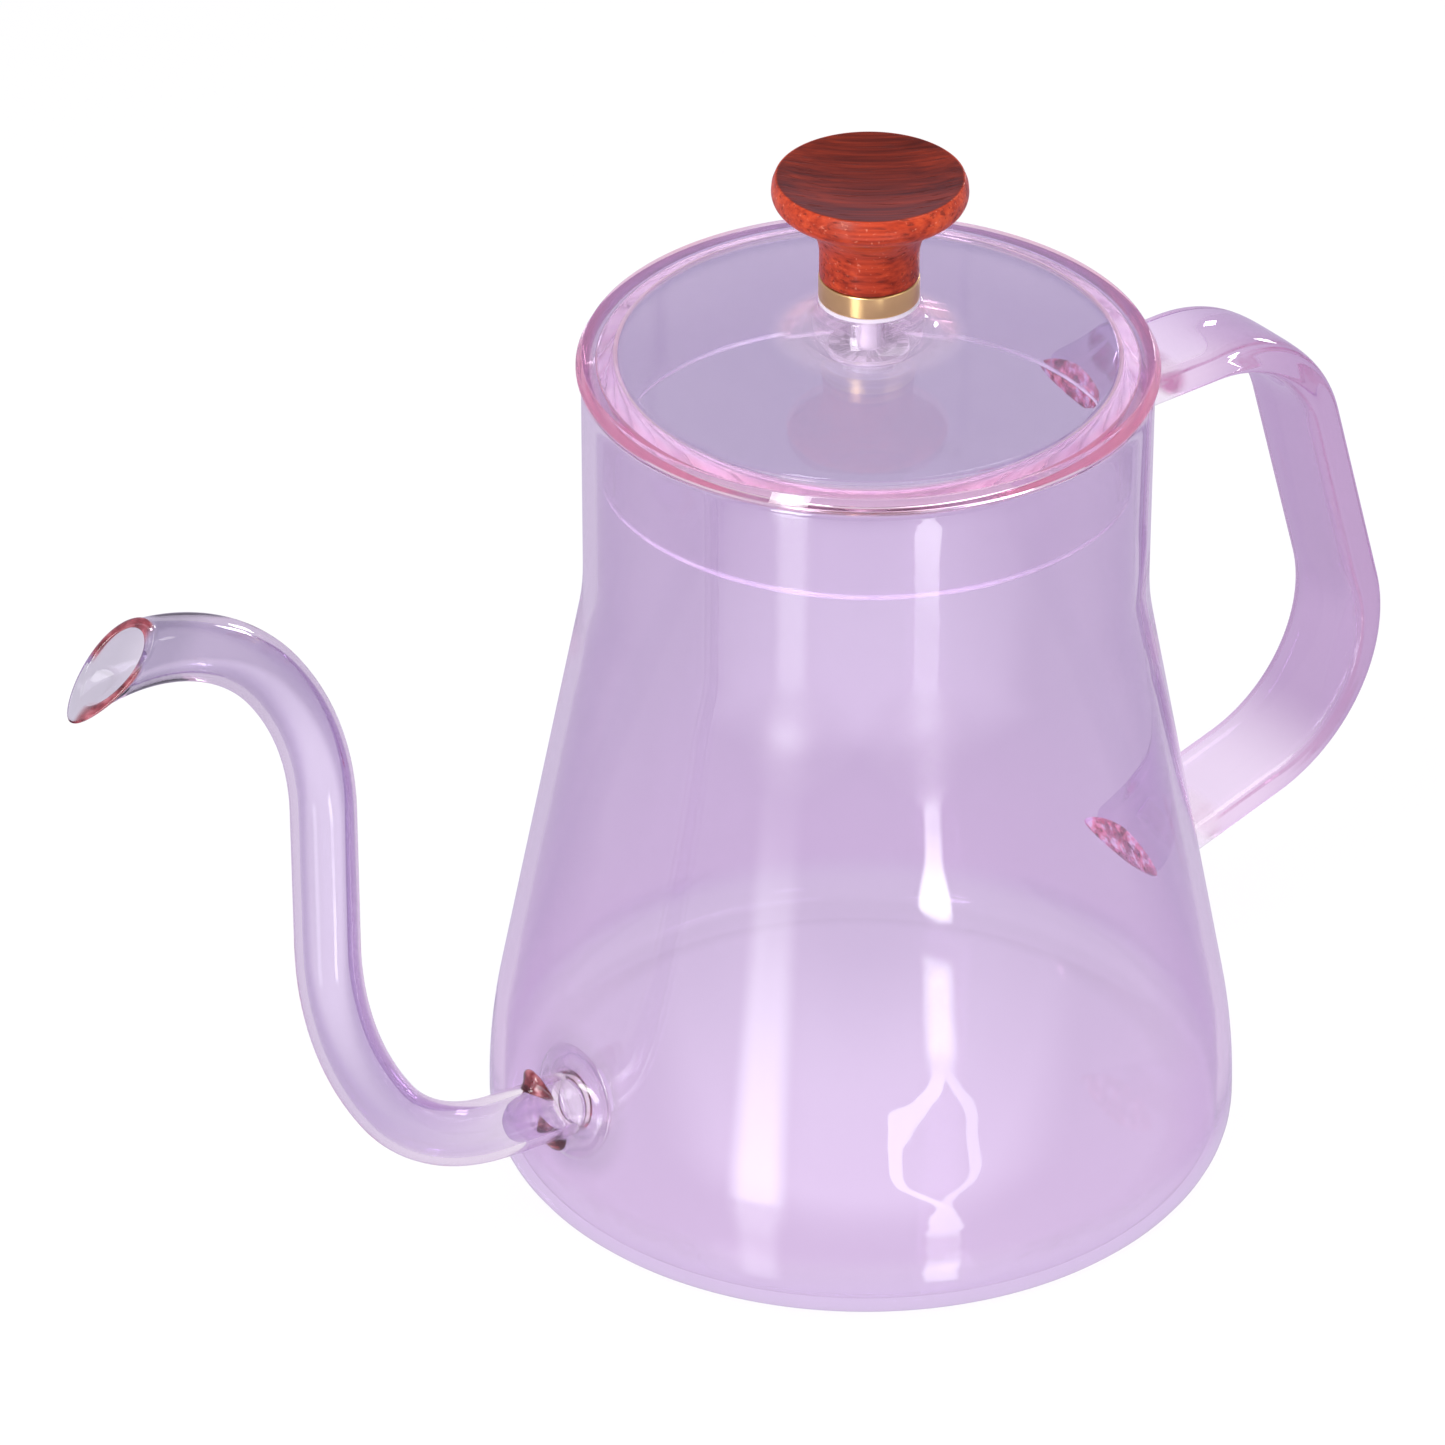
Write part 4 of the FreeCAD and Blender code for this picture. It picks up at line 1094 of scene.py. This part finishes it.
def spout_trail():
    """The spout's centre line, drawn along +X from the wall to the mouth."""
    trail = Trail(wall_at(ROOT_HEIGHT), ROOT_HEIGHT, ROOT_RISE)
    trail.run(ROOT_STRAIGHT)
    bend_x, _, _ = trail.points[-1]
    eased = (RISER_REACH - bend_x - LOWER_EASE + LOWER_BEND * sin(ROOT_RISE)) / (LOWER_BEND - LOWER_EASE)
    ease_way = atan2(eased, sqrt(1 - eased * eased))
    trail.bend(LOWER_BEND, ease_way - ROOT_RISE)
    trail.bend(LOWER_EASE, pi / 2 - ease_way)
    trail.run(ARCH_HEIGHT - ARCH_RISE - trail.points[-1][1])
    arch_way = acos(ARCH_LEVEL)
    trail.bend(UPPER_EASE, arch_way - pi / 2)
    trail.bend(UPPER_BEND, -arch_way - MOUTH_TURN)
    return trail.points


def swept(name, rows, material, squareness, steps=STRAP_STEPS, flip=1.0, bend=LOWER_CORNER, slant=pi / 2):
    """Sweep a section along rows of x, z, heading, high, wide, lean, hug, cut and skin. The flip turns a
    line drawn along +X to -X."""
    points = [(flip * x, 0.0, z) for x, z, *_ in rows]
    headings = [row[2] for row in rows]
    attributes = {
        "normal_way": ("FLOAT_VECTOR", [(-flip * sin(heading), 0.0, cos(heading)) for heading in headings]),
        "ahead_way": ("FLOAT_VECTOR", [(flip * cos(heading), 0.0, sin(heading)) for heading in headings]),
    }
    for column, label in enumerate(("high", "wide", "lean", "hug", "cut", "skin"), start=3):
        attributes[label] = ("FLOAT", [row[column] for row in rows])
    settings = {"Steps": steps, "Squareness": squareness, "Last Bend": bend, "Mouth Angle": slant,
                "Material": material}
    return grow(name, SWEPT, settings, points, attributes)


def make_spout(material):
    trail = spout_trail()
    lengths = [0.0]
    for (x0, z0, _), (x1, z1, _) in zip(trail, trail[1:]):
        lengths.append(lengths[-1] + hypot(x1 - x0, z1 - z0))
    mouth = lengths[-1]

    def ring(number, radius, thins, outer):
        """One ring of a face of the tube, which thins towards the mouth. The outer skin sets in along the
        root."""
        x, z, heading = trail[number]
        near_mouth = max(0.0, 1.0 - (mouth - lengths[number]) / MOUTH_REACH)
        cut = near_mouth * near_mouth * (3 - 2 * near_mouth)
        root = 1.0 if number == 0 else 0.0
        skin = min(1.0, lengths[number] / SKIN_EASE) * outer
        size = radius + thins * cut
        return x + SEAM * root, z, heading, size, size, ROOT_LEAN * root, ROOT_HUG * root, cut, skin

    outside = [ring(number, SPOUT_RADIUS, 0.0, 1.0) for number in range(len(trail))]
    inside = [ring(number, SPOUT_BORE, LIP_THINS, 0.0) for number in reversed(range(len(trail)))]
    x, z, heading = trail[-1]
    middle = (SPOUT_RADIUS + SPOUT_BORE + LIP_THINS) / 2
    half = (SPOUT_WALL - LIP_THINS) / 2 + LIP_BULGE
    lip = []
    for step in range(-LIP_OVERLAP, LIP_STEPS + LIP_OVERLAP + 1):
        angle = pi * step / LIP_STEPS
        radius = middle + half * cos(angle)
        ahead = half * (sin(angle) - 1.0)
        place = (x + ahead * cos(heading), z + ahead * sin(heading), heading)
        lip.append((*place, radius, radius, 0.0, 0.0, 1.0, 0.0))
    rows = outside[:-1] + lip + inside[1:] + outside[:1]
    slant = MOUTH_SLANT - MOUTH_TURN
    spout = swept("spout_glass", rows, material, 1.0, TUBE_STEPS, -1.0, UPPER_BEND, slant)
    return wear(spout, "kettle", "spout_glass", "spout")


def make_root_ring(name, section, bead, top, bottom, lean, out, material):
    """A ring of glass round the spout's root, some way out from the wall."""
    settings = {"Steps": TUBE_STEPS, "Tube": SPOUT_RADIUS + SEAM, "Bead": bead, "Top": top,
                "Bottom": bottom, "Lean": lean, "Hug": ROOT_HUG, "Material": material}
    ring = grow(name, BEAD, settings, [(along, 0.0, away) for along, away in section])
    ring.data.transform(root_matrix() @ Matrix.Translation((out, 0.0, 0.0)))
    return ring


def make_spout_weld(weld_material, collar_material):
    """The wall is drawn out to a hollow collar, and drops of fused glass join the tube to its end."""
    ring = make_root_ring("spout_collar_glass", COLLAR_SECTION, MM, 0.0, 0.0, ROOT_LEAN, 0.0,
                          collar_material)
    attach(ring, "kettle")
    weld = make_root_ring("spout_weld_glass", DROP_SECTION, ROOT_BEAD, ROOT_BEAD_TOP, ROOT_BEAD_BOTTOM,
                          COLLAR_LEAN, COLLAR_LENGTH, weld_material)
    return wear(weld, "kettle", "weld_glass", "spout_weld")


def handle_trail():
    """The strap's centre line, from the upper root round the grip to the lower root."""
    root_x = wall_at(LOWER_ROOT)
    low_x = HANDLE_REACH - LOWER_CORNER
    low_z = LOWER_ROOT + (low_x - root_x) * tan(LOWER_RISE) + LOWER_CORNER / cos(LOWER_RISE)
    out = Vector((cos(GRIP_LEAN), sin(GRIP_LEAN)))
    grip_end = Vector((low_x, low_z)) + out * LOWER_CORNER
    high_z = HANDLE_HEIGHT - UPPER_CORNER
    high_x = (grip_end.x * out.x + (grip_end.y - high_z) * out.y - UPPER_CORNER) / out.x
    grip_start = Vector((high_x, high_z)) + out * UPPER_CORNER
    run_start = Vector((low_x + LOWER_CORNER * sin(LOWER_RISE), low_z - LOWER_CORNER * cos(LOWER_RISE)))
    trail = Trail(NECK_RADIUS + STRAP_END_GAP, HANDLE_HEIGHT, 0.0)
    trail.run(high_x - trail.points[0][0])
    trail.bend(UPPER_CORNER, GRIP_LEAN - pi / 2)
    trail.run((grip_end - grip_start).length)
    trail.bend(LOWER_CORNER, LOWER_RISE - pi / 2 - GRIP_LEAN)
    trail.run(hypot(run_start.x - root_x, run_start.y - LOWER_ROOT) - STRAP_END_GAP)
    return trail.points


def make_handle(material):
    trail = handle_trail()
    high = STRAP_THICKNESS / 2
    wide = STRAP_WIDTH / 2

    def cap(number, lean, hug, way):
        """Rings that close one end and round it over, from its middle outwards."""
        x, z, heading = trail[number]
        yield x, z, heading, 0.0, 0.0, lean, hug, 0.0, 1.0
        for step in range(CAP_STEPS + 1):
            angle = pi / 2 * step / CAP_STEPS
            inset = STRAP_END_ROUND * (1 - sin(angle))
            ahead = way * STRAP_END_ROUND * (1 - cos(angle))
            yield (x + ahead * cos(heading), z + ahead * sin(heading), heading,
                   high - inset, wide - inset, lean, hug, 0.0, 1.0)

    start = list(cap(0, 0.0, UPPER_HUG, 1.0))
    end = list(cap(-1, STRAP_FOOT_LEAN, 0.5 / BASE_RADIUS, -1.0))
    middle = [(*place, high, wide, 0.0, 0.0, 0.0, 1.0) for place in trail[CAP_ROOM:-CAP_ROOM]]
    handle = swept("handle_glass", start + middle + end[::-1], material, 2.0 / STRAP_SQUARENESS)
    return wear(handle, "kettle", "handle_glass", "handle")


def make_handle_weld(name, node, place, lean, hug, material):
    """The lens of fused glass between the wall and one end of the strap, with pointed ends."""
    x, z, heading = place
    high = STRAP_WELD_HEIGHT / 2
    wide = STRAP_WELD_WIDTH / 2
    rows = []
    for ahead, share in LENS_SECTION:
        out = ahead * STRAP_END_GAP
        spot = (x + out * cos(heading), z + out * sin(heading), heading)
        rows.append((*spot, high * share, wide * share, lean, hug, 0.0, 1.0))
    return wear(swept(name, rows, material, LENS_SQUARENESS), "kettle", "weld_glass", node)


def make_handle_welds(material):
    upper = (NECK_RADIUS, HANDLE_HEIGHT, 0.0)
    make_handle_weld("handle_upper_weld_glass", "handle_upper_weld", upper, 0.0, UPPER_HUG, material)
    root_x = wall_at(LOWER_ROOT)
    lower = (root_x, LOWER_ROOT, LOWER_RISE)
    lean = -tan(asin((LOWER_ROOT - HEEL_RADIUS) / BELLY_RADIUS) - LOWER_RISE)
    make_handle_weld("handle_lower_weld_glass", "handle_lower_weld", lower, lean, -0.5 / root_x, material)


# Lid

def dome_at(crown, radius, across):
    return crown - radius + sqrt(radius * radius - across * across)


def dome(crown, radius, start, end):
    """Points of a shallow dome between two distances from the axis."""
    reaches = [start + (end - start) * step / DOME_STEPS for step in range(DOME_STEPS + 1)]
    return [(across, dome_at(crown, radius, across), 0.0) for across in reaches]


def make_lid(material):
    crown = FLANGE_TOP + DOME_RISE
    sphere = (FLANGE_RADIUS ** 2 + DOME_RISE ** 2) / (2 * DOME_RISE)
    under = (crown - LID_WALL, sphere - LID_WALL)
    bore = SKIRT_RADIUS - LID_WALL
    foot = crown - LID_WALL - BOSS_FOOT
    corners = [
        (SCREW_HOLE, BOSS_TOP, BOSS_EDGE),
        (BOSS_RADIUS, BOSS_TOP, BOSS_ROUND),
        (BOSS_RADIUS, dome_at(crown, sphere, BOSS_RADIUS), BOSS_FLARE),
        *dome(crown, sphere, DOME_START, DOME_END),
        (FLANGE_RADIUS - FLANGE_BEVEL, FLANGE_TOP, FLANGE_EDGE),
        (FLANGE_RADIUS, FLANGE_TOP - FLANGE_BEVEL_DROP, FLANGE_EDGE),
        (FLANGE_RADIUS, RIM_HEIGHT + SEAM, FLANGE_FOOT_ROUND),
        (SKIRT_RADIUS, RIM_HEIGHT + SEAM, FLANGE_EDGE),
        (SKIRT_RADIUS, SKIRT_FOOT, SKIRT_ROUND),
        (bore, SKIRT_FOOT, SKIRT_ROUND),
        (bore, dome_at(*under, bore), SKIRT_TOP_ROUND),
        *dome(*under, bore - UNDER_GAP, BOSS_RADIUS + UNDER_GAP),
        (BOSS_RADIUS, dome_at(*under, BOSS_RADIUS), BOSS_EDGE),
        (BOSS_RADIUS - BOSS_TAPER, foot, BOSS_EDGE),
        (SCREW_HOLE, foot, BOSS_EDGE),
    ]
    lid = turned("lid_glass", corners, material, closed=True)
    return wear(lid, "lid", "lid_glass", "lid")


# Knob

def arc(x, z, radius, start, end):
    """Points of an arc, as corners without rounding."""
    angles = [start + (end - start) * step / ARC_STEPS for step in range(ARC_STEPS + 1)]
    return [(x + radius * cos(angle), z + radius * sin(angle), 0.0) for angle in angles]


def make_knob(material):
    """A dished top with a crisp edge, a full rim, a hollow flare and a neck with a drilled tenon below."""
    low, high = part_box("knob")
    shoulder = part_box("ferrule")[1].z
    rim_x = high.x - KNOB_RIM
    rim_z = high.z - KNOB_RIM_DROP
    flare_x = KNOB_NECK + KNOB_FLARE
    flare_z = rim_z - sqrt((KNOB_FLARE + KNOB_RIM) ** 2 - (rim_x - flare_x) ** 2)
    meet = atan2(rim_z - flare_z, rim_x - flare_x)
    dish = (KNOB_DISH ** 2 + KNOB_DISH_DEPTH ** 2) / (2 * KNOB_DISH_DEPTH)
    dish_z = high.z - KNOB_DISH_DEPTH + dish
    half = asin(KNOB_DISH / dish)
    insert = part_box("knob_insert")[1]
    socket = insert.x + 2 * SEAM
    corners = [
        (0.0, insert.z, 0.0),
        (socket, insert.z, 0.0),
        (socket, low.z, TENON_EDGE),
        (KNOB_TENON, low.z, TENON_EDGE),
        (KNOB_TENON, shoulder + SEAM, 0.0),
        (KNOB_NECK, shoulder + SEAM, KNOB_FOOT_EDGE),
        *arc(flare_x, flare_z, KNOB_FLARE, pi, meet),
        *arc(rim_x, rim_z, KNOB_RIM, meet - pi, 0.0)[1:],
        (high.x - KNOB_RIM_LEAN, rim_z + KNOB_RIM_RISE, KNOB_RIM_ROUND),
        (KNOB_DISH + KNOB_DISH_LIP, high.z, KNOB_DISH_EDGE),
        *arc(0.0, dish_z, dish, half - pi / 2, -pi / 2),
    ]
    knob = turned("knob_wood", corners, material)
    return wear(knob, "lid", "knob_wood", "knob")


def make_ferrule(material):
    low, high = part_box("ferrule")
    corners = [
        (KNOB_TENON + SEAM, low.z, FERRULE_BORE_EDGE),
        (high.x, low.z, FERRULE_EDGE),
        (high.x, high.z, FERRULE_EDGE),
        (KNOB_TENON + SEAM, high.z, FERRULE_BORE_EDGE),
    ]
    ferrule = turned("ferrule_brass", corners, material, closed=True)
    return wear(ferrule, "lid", "ferrule_brass", "ferrule")


# Stage

def add_lamp(name, aim, azimuth, elevation, distance, size, power):
    """A softbox at an angle from the camera's side, turned to face the kettle."""
    data = bpy.data.lights.new(name, "AREA")
    data.shape = "RECTANGLE"
    data.size, data.size_y = size
    data.energy = power
    lamp = bpy.data.objects.new(name, data)
    turn = VIEW_TURN + azimuth
    back = Vector((sin(turn) * cos(elevation), -cos(turn) * cos(elevation), sin(elevation)))
    lamp.location = Vector(aim) + back * distance
    lamp.rotation_mode = "QUATERNION"
    lamp.rotation_quaternion = (-back).to_track_quat("-Z", "Y")
    bpy.context.scene.collection.objects.link(lamp)
    return lamp


def new_quad(name, corners):
    """A single flat face."""
    mesh = bpy.data.meshes.new(name)
    mesh.from_pydata(corners, [], [(0, 1, 2, 3)])
    quad = bpy.data.objects.new(name, mesh)
    bpy.context.scene.collection.objects.link(quad)
    return quad


def add_card(name, azimuth, low, high, width, strength, ends, skew=0.0, shape=None):
    """An upright white card that only shows in mirror-like reflections, with soft edges and two soft ends.
    Below the floor it stands for the lamp's image in a glossy table. Its ends are skewed to look level on
    the round wall, and a shape is a mask across and up the card."""
    half = width / 2
    drop = low - half * skew
    lift = high + half * skew
    card = new_quad(name, [(-half, 0, drop), (half, 0, drop), (half, 0, lift), (-half, 0, lift)])
    turn = VIEW_TURN + azimuth
    card.location = (sin(turn) * CARD_DISTANCE, -cos(turn) * CARD_DISTANCE, 0.0)
    card.rotation_euler.z = turn
    material, graph = new_material(name)
    across, _, upward = graph.parts(object_place(graph))
    height = upward + across * skew
    edge = shape(graph, across, height) if shape else graph.zone(abs(across), half, half * CARD_SOFTNESS)
    fade = graph.zone(height, low, low + ends[0]) * graph.zone(height, high, high - ends[1])
    show_in_mirrors(card, material, graph, edge * fade * strength, WHITE)


def show_in_mirrors(card, material, graph, strength, tone):
    """Let a card glow, for mirror-like reflections alone."""
    glow = graph.add("ShaderNodeEmission", None, {"Color": tone, "Strength": strength})
    output(graph, graph.add("ShaderNodeAddShader", None, {0: glow, 1: graph.veil(WHITE)}))
    card.data.materials.append(material)
    for kind in ("camera", "diffuse", "transmission", "volume_scatter", "shadow"):
        setattr(card, f"visible_{kind}", False)
    card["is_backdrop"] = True


def add_table_glow():
    """The lit table in front of the kettle, as mirror-like reflections show it."""
    half = 0.3
    far = 0.6
    card = new_quad("table_glow", [(-half, -far, 0), (half, -far, 0), (half, 0, 0), (-half, 0, 0)])
    card.location.z = -TABLE_GLOW_DROP
    card.rotation_euler.z = VIEW_TURN
    material, graph = new_material("table_glow")
    across, ahead, _ = graph.parts(object_place(graph))
    near = graph.zone(ahead, *TABLE_NEAR) * graph.zone(ahead, *TABLE_FAR)
    strength = near * graph.zone(abs(across), *TABLE_SIDES) * TABLE_GLOW
    show_in_mirrors(card, material, graph, strength, TABLE)


def strands(graph, across, height):
    """Two wavy strands that part below the top of the card, cross and run on as one."""
    left_out = graph.zone(height, *LEFT_PARTS) * graph.zone(height, *LEFT_JOINS) * LEFT_OUT
    right_out = graph.zone(height, *RIGHT_PARTS) * graph.zone(height, *RIGHT_JOINS) * RIGHT_OUT
    line = graph.add("ShaderNodeCombineXYZ", None, {"Z": height})
    wave = (graph.noise(line, STRAND_WAVES, 4.0, 0.6) - 0.5) * STRAND_SWAY
    spread = graph.zone(height, *STRANDS_WIDEN) * STRANDS_SPREAD + 1.0
    left = graph.zone(abs(across - wave + left_out) / spread, *LEFT_SOFT)
    right = graph.zone(abs(across + wave - right_out) / spread, *RIGHT_SOFT)
    dip = graph.zone(abs(height - DIP_HEIGHT), *DIP) * (1.0 - DIP_LIGHT) + DIP_LIGHT
    return graph.math("MAXIMUM", left, right * RIGHT_LIGHT) * dip


def flared(graph, across, height):
    """A strip that spreads towards its foot."""
    foot = graph.zone(height, *STRIP_FOOT)
    outer, inner = STRIP_SPREAD
    return graph.zone(abs(across), STRAND * (1.0 + foot * outer), STRAND * (0.5 + foot * inner))


def show_white(graph, seen, glossy):
    """How much of its white a surface shows to the camera, through glass and in mirrors."""
    direct = (graph.rays("Camera") + graph.rays("Transmission")) * seen
    return graph.math("MINIMUM", direct + graph.rays("Glossy") * glossy, 1.0)


def make_world():
    """White for the camera and through glass. Mirrors show a lavender studio with a dark ceiling and a
    paler table in front."""
    world = bpy.data.worlds.new("studio")
    world.use_nodes = True
    world.node_tree.nodes.clear()
    graph = Graph(world.node_tree)
    way = graph.add("ShaderNodeTexCoord", output="Generated")
    _, _, height = graph.parts(way)
    below = (sin(VIEW_TURN) * cos(TABLE_DROP), -cos(VIEW_TURN) * cos(TABLE_DROP), -sin(TABLE_DROP))
    ceiling = graph.zone(height, *CEILING)
    table = graph.zone(graph.dot(way, below), *TABLE_SEEN)
    seen = 1.0 - ceiling * (1.0 - CEILING_LIGHT) + table * TABLE_LIGHT
    studio = graph.add("ShaderNodeBackground", None, {"Color": STUDIO, "Strength": seen})
    fill = graph.add("ShaderNodeBackground", None, {"Color": FILL, "Strength": FILL_LIGHT})
    white = graph.add("ShaderNodeBackground", None, {"Color": WHITE, "Strength": 1.0})
    around = graph.mixed(graph.rays("Glossy"), fill, studio)
    surface = graph.mixed(show_white(graph, 1.0, MIRRORED_LIGHT), around, white)
    graph.add("ShaderNodeOutputWorld", None, {"Surface": surface})
    bpy.context.scene.world = world


def make_floor():
    half = 3.0
    floor = new_quad("floor", [(-half, -half, 0), (half, -half, 0), (half, half, 0), (-half, half, 0)])
    floor.location.z = -FLOOR_DROP
    material, graph = new_material("pale_floor")
    paper = graph.add("ShaderNodeBsdfDiffuse", None, {"Color": PAPER})
    white = graph.add("ShaderNodeEmission", None, {"Color": WHITE, "Strength": 1.0})
    output(graph, graph.mixed(show_white(graph, FLOOR_LIGHT, FLOOR_LIGHT), paper, white))
    floor.data.materials.append(material)
    floor.visible_glossy = False
    floor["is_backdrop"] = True


def make_camera():
    across = Vector((cos(VIEW_TURN), sin(VIEW_TURN), 0.0))
    level = Vector((-sin(VIEW_TURN), cos(VIEW_TURN), 0.0))
    ahead = level * cos(VIEW_DROP) - Vector((0, 0, sin(VIEW_DROP)))
    above = level * sin(VIEW_DROP) + Vector((0, 0, cos(VIEW_DROP)))
    data = bpy.data.cameras.new("camera")
    data.lens = LENS
    data.sensor_width = SENSOR
    camera = bpy.data.objects.new("camera", data)
    shift = across * VIEW_SHIFT[0] + above * VIEW_SHIFT[1]
    camera.location = VIEW_TARGET - ahead * VIEW_DISTANCE + shift
    camera.rotation_mode = "QUATERNION"
    camera.rotation_quaternion = Matrix((across, above, -ahead)).transposed().to_quaternion()
    bpy.context.scene.collection.objects.link(camera)
    bpy.context.scene.camera = camera


TURNED = turned_tree()
SWEPT = swept_tree()
BEAD = bead_tree()

vessel_glass = glass(
    "vessel_glass", vessel_tint, WALL_TINT, 2.5, 0.06 * MM, 20 * MM, calm=vessel_calm,
    edge=(0.6, 0.42, 0.70), still=(vessel_still, HEEL_VEIL, WALL_VEIL), dull=vessel_dull)
spout_glass = glass(
    "spout_glass", spout_tint, TUBE_TINT, 25.0, 0.04 * MM, 10 * MM, edge=(0.6, 0.24, 0.36),
    core=(lip_core, LIP_STOPS, 0.0, CORE_GRAIN))
# The core at the skirt's foot is a painted highlight
lid_glass = glass(
    "lid_glass", lid_tint, SKIRT_TINT, 9.0, 0.03 * MM, 20 * MM,
    core=(painted_foot_highlight, FOOT_HIGHLIGHT_STOPS, 0.0, CORE_GRAIN), still=(lid_still, BOSS_VEIL, BOSS_VEIL))
strap_glass = glass(
    "strap_glass", strap_tint, STRAP_SHADE, 5.0, 0.05 * MM, 12 * MM, edge=(0.3, 0.35, 0.6),
    still=(strap_still, CLEAR_VEIL, STRAP_VEIL))
weld_glass = glass(
    "weld_glass", bead_tint, WELD_TINT, 60.0, 0.12 * MM, 3 * MM,
    core=(bead_core, WELD_STOPS, 0.0, CORE_GRAIN), still=(bead_still, CLEAR_VEIL, CLEAR_VEIL))
collar_glass = glass(
    "collar_glass", plain_tint(SKIRT_TINT), SKIRT_TINT, 4.0, 0.04 * MM, 6 * MM,
    still=(collar_still, CLEAR_VEIL, CLEAR_VEIL))
# The lens's core glows with painted light and shows painted glints
lens_glass = glass(
    "lens_glass", plain_tint(WELD_TINT), WELD_TINT, 60.0, 0.12 * MM, 3 * MM,
    core=(glowing_lens_core, LENS_AND_GLINT_STOPS, 0.35, 1.8 * MM))
steel = satin_metal("turned_steel", STEEL, STEEL_SHADE, 0.3, 0.4, 0.03 * MM)
brass = satin_metal("satin_brass", BRASS, BRASS_SHADE, 1.0, 0.27, 0.02 * MM)
soft = silicone()

make_vessel(vessel_glass)
make_spout(spout_glass)
make_spout_weld(weld_glass, collar_glass)
make_handle(strap_glass)
make_handle_welds(lens_glass)
make_lid(lid_glass)
make_knob(wood())
make_ferrule(brass)
paint("knob_insert", brass)
for node in ("knob_screw", "screw_washer"):
    paint(node, steel)
for node in ("knob_seat_washer", "seal_washer"):
    paint(node, soft)

make_world()
make_floor()
make_camera()
add_lamp("key_softbox", MIDDLE, radians(-30), radians(32), 0.8, (0.18, 0.8), 5.0)
add_lamp("top_softbox", MIDDLE, radians(70), radians(62), 0.9, (0.5, 0.5), 3.0)
add_lamp("back_softbox", MIDDLE, radians(152), radians(15), 1.1, (0.15, 0.15), 1.2)
add_card("left_high_card", LEFT_CARDS, 0.30, 0.60, 0.16, 12.0, (0.05, 0.05))
add_card("left_low_card", LEFT_CARDS, -0.31, -0.03, 0.24, 8.0, (0.13, 0.12))
add_card("left_foot_card", LEFT_CARDS, -0.45, -0.20, 0.2, 2.4, (0.05, 0.09))
add_card("right_upper_card", RIGHT_CARDS, -0.0765, -0.038, 0.3, 14.0, (0.002, 0.03), RIGHT_SKEW, flared)
add_card("right_low_card", RIGHT_CARDS, -0.114, -0.083, 0.15, 14.0, (0.012, 0.004), RIGHT_SKEW)
add_card("right_foot_card", RIGHT_CARDS, -0.44, -0.106, 0.8, 6.0, (0.03, 0.008), RIGHT_SKEW, strands)
add_table_glow()
for limit in ("max_bounces", "transmission_bounces", "transparent_max_bounces", "glossy_bounces"):
    setattr(bpy.context.scene.cycles, limit, BOUNCES)
bpy.context.scene.view_settings.view_transform = "Standard"

boxes = {"cad": cad_box, "visual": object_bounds()}
{name: [list(corner) for corner in box] for name, box in boxes.items()}
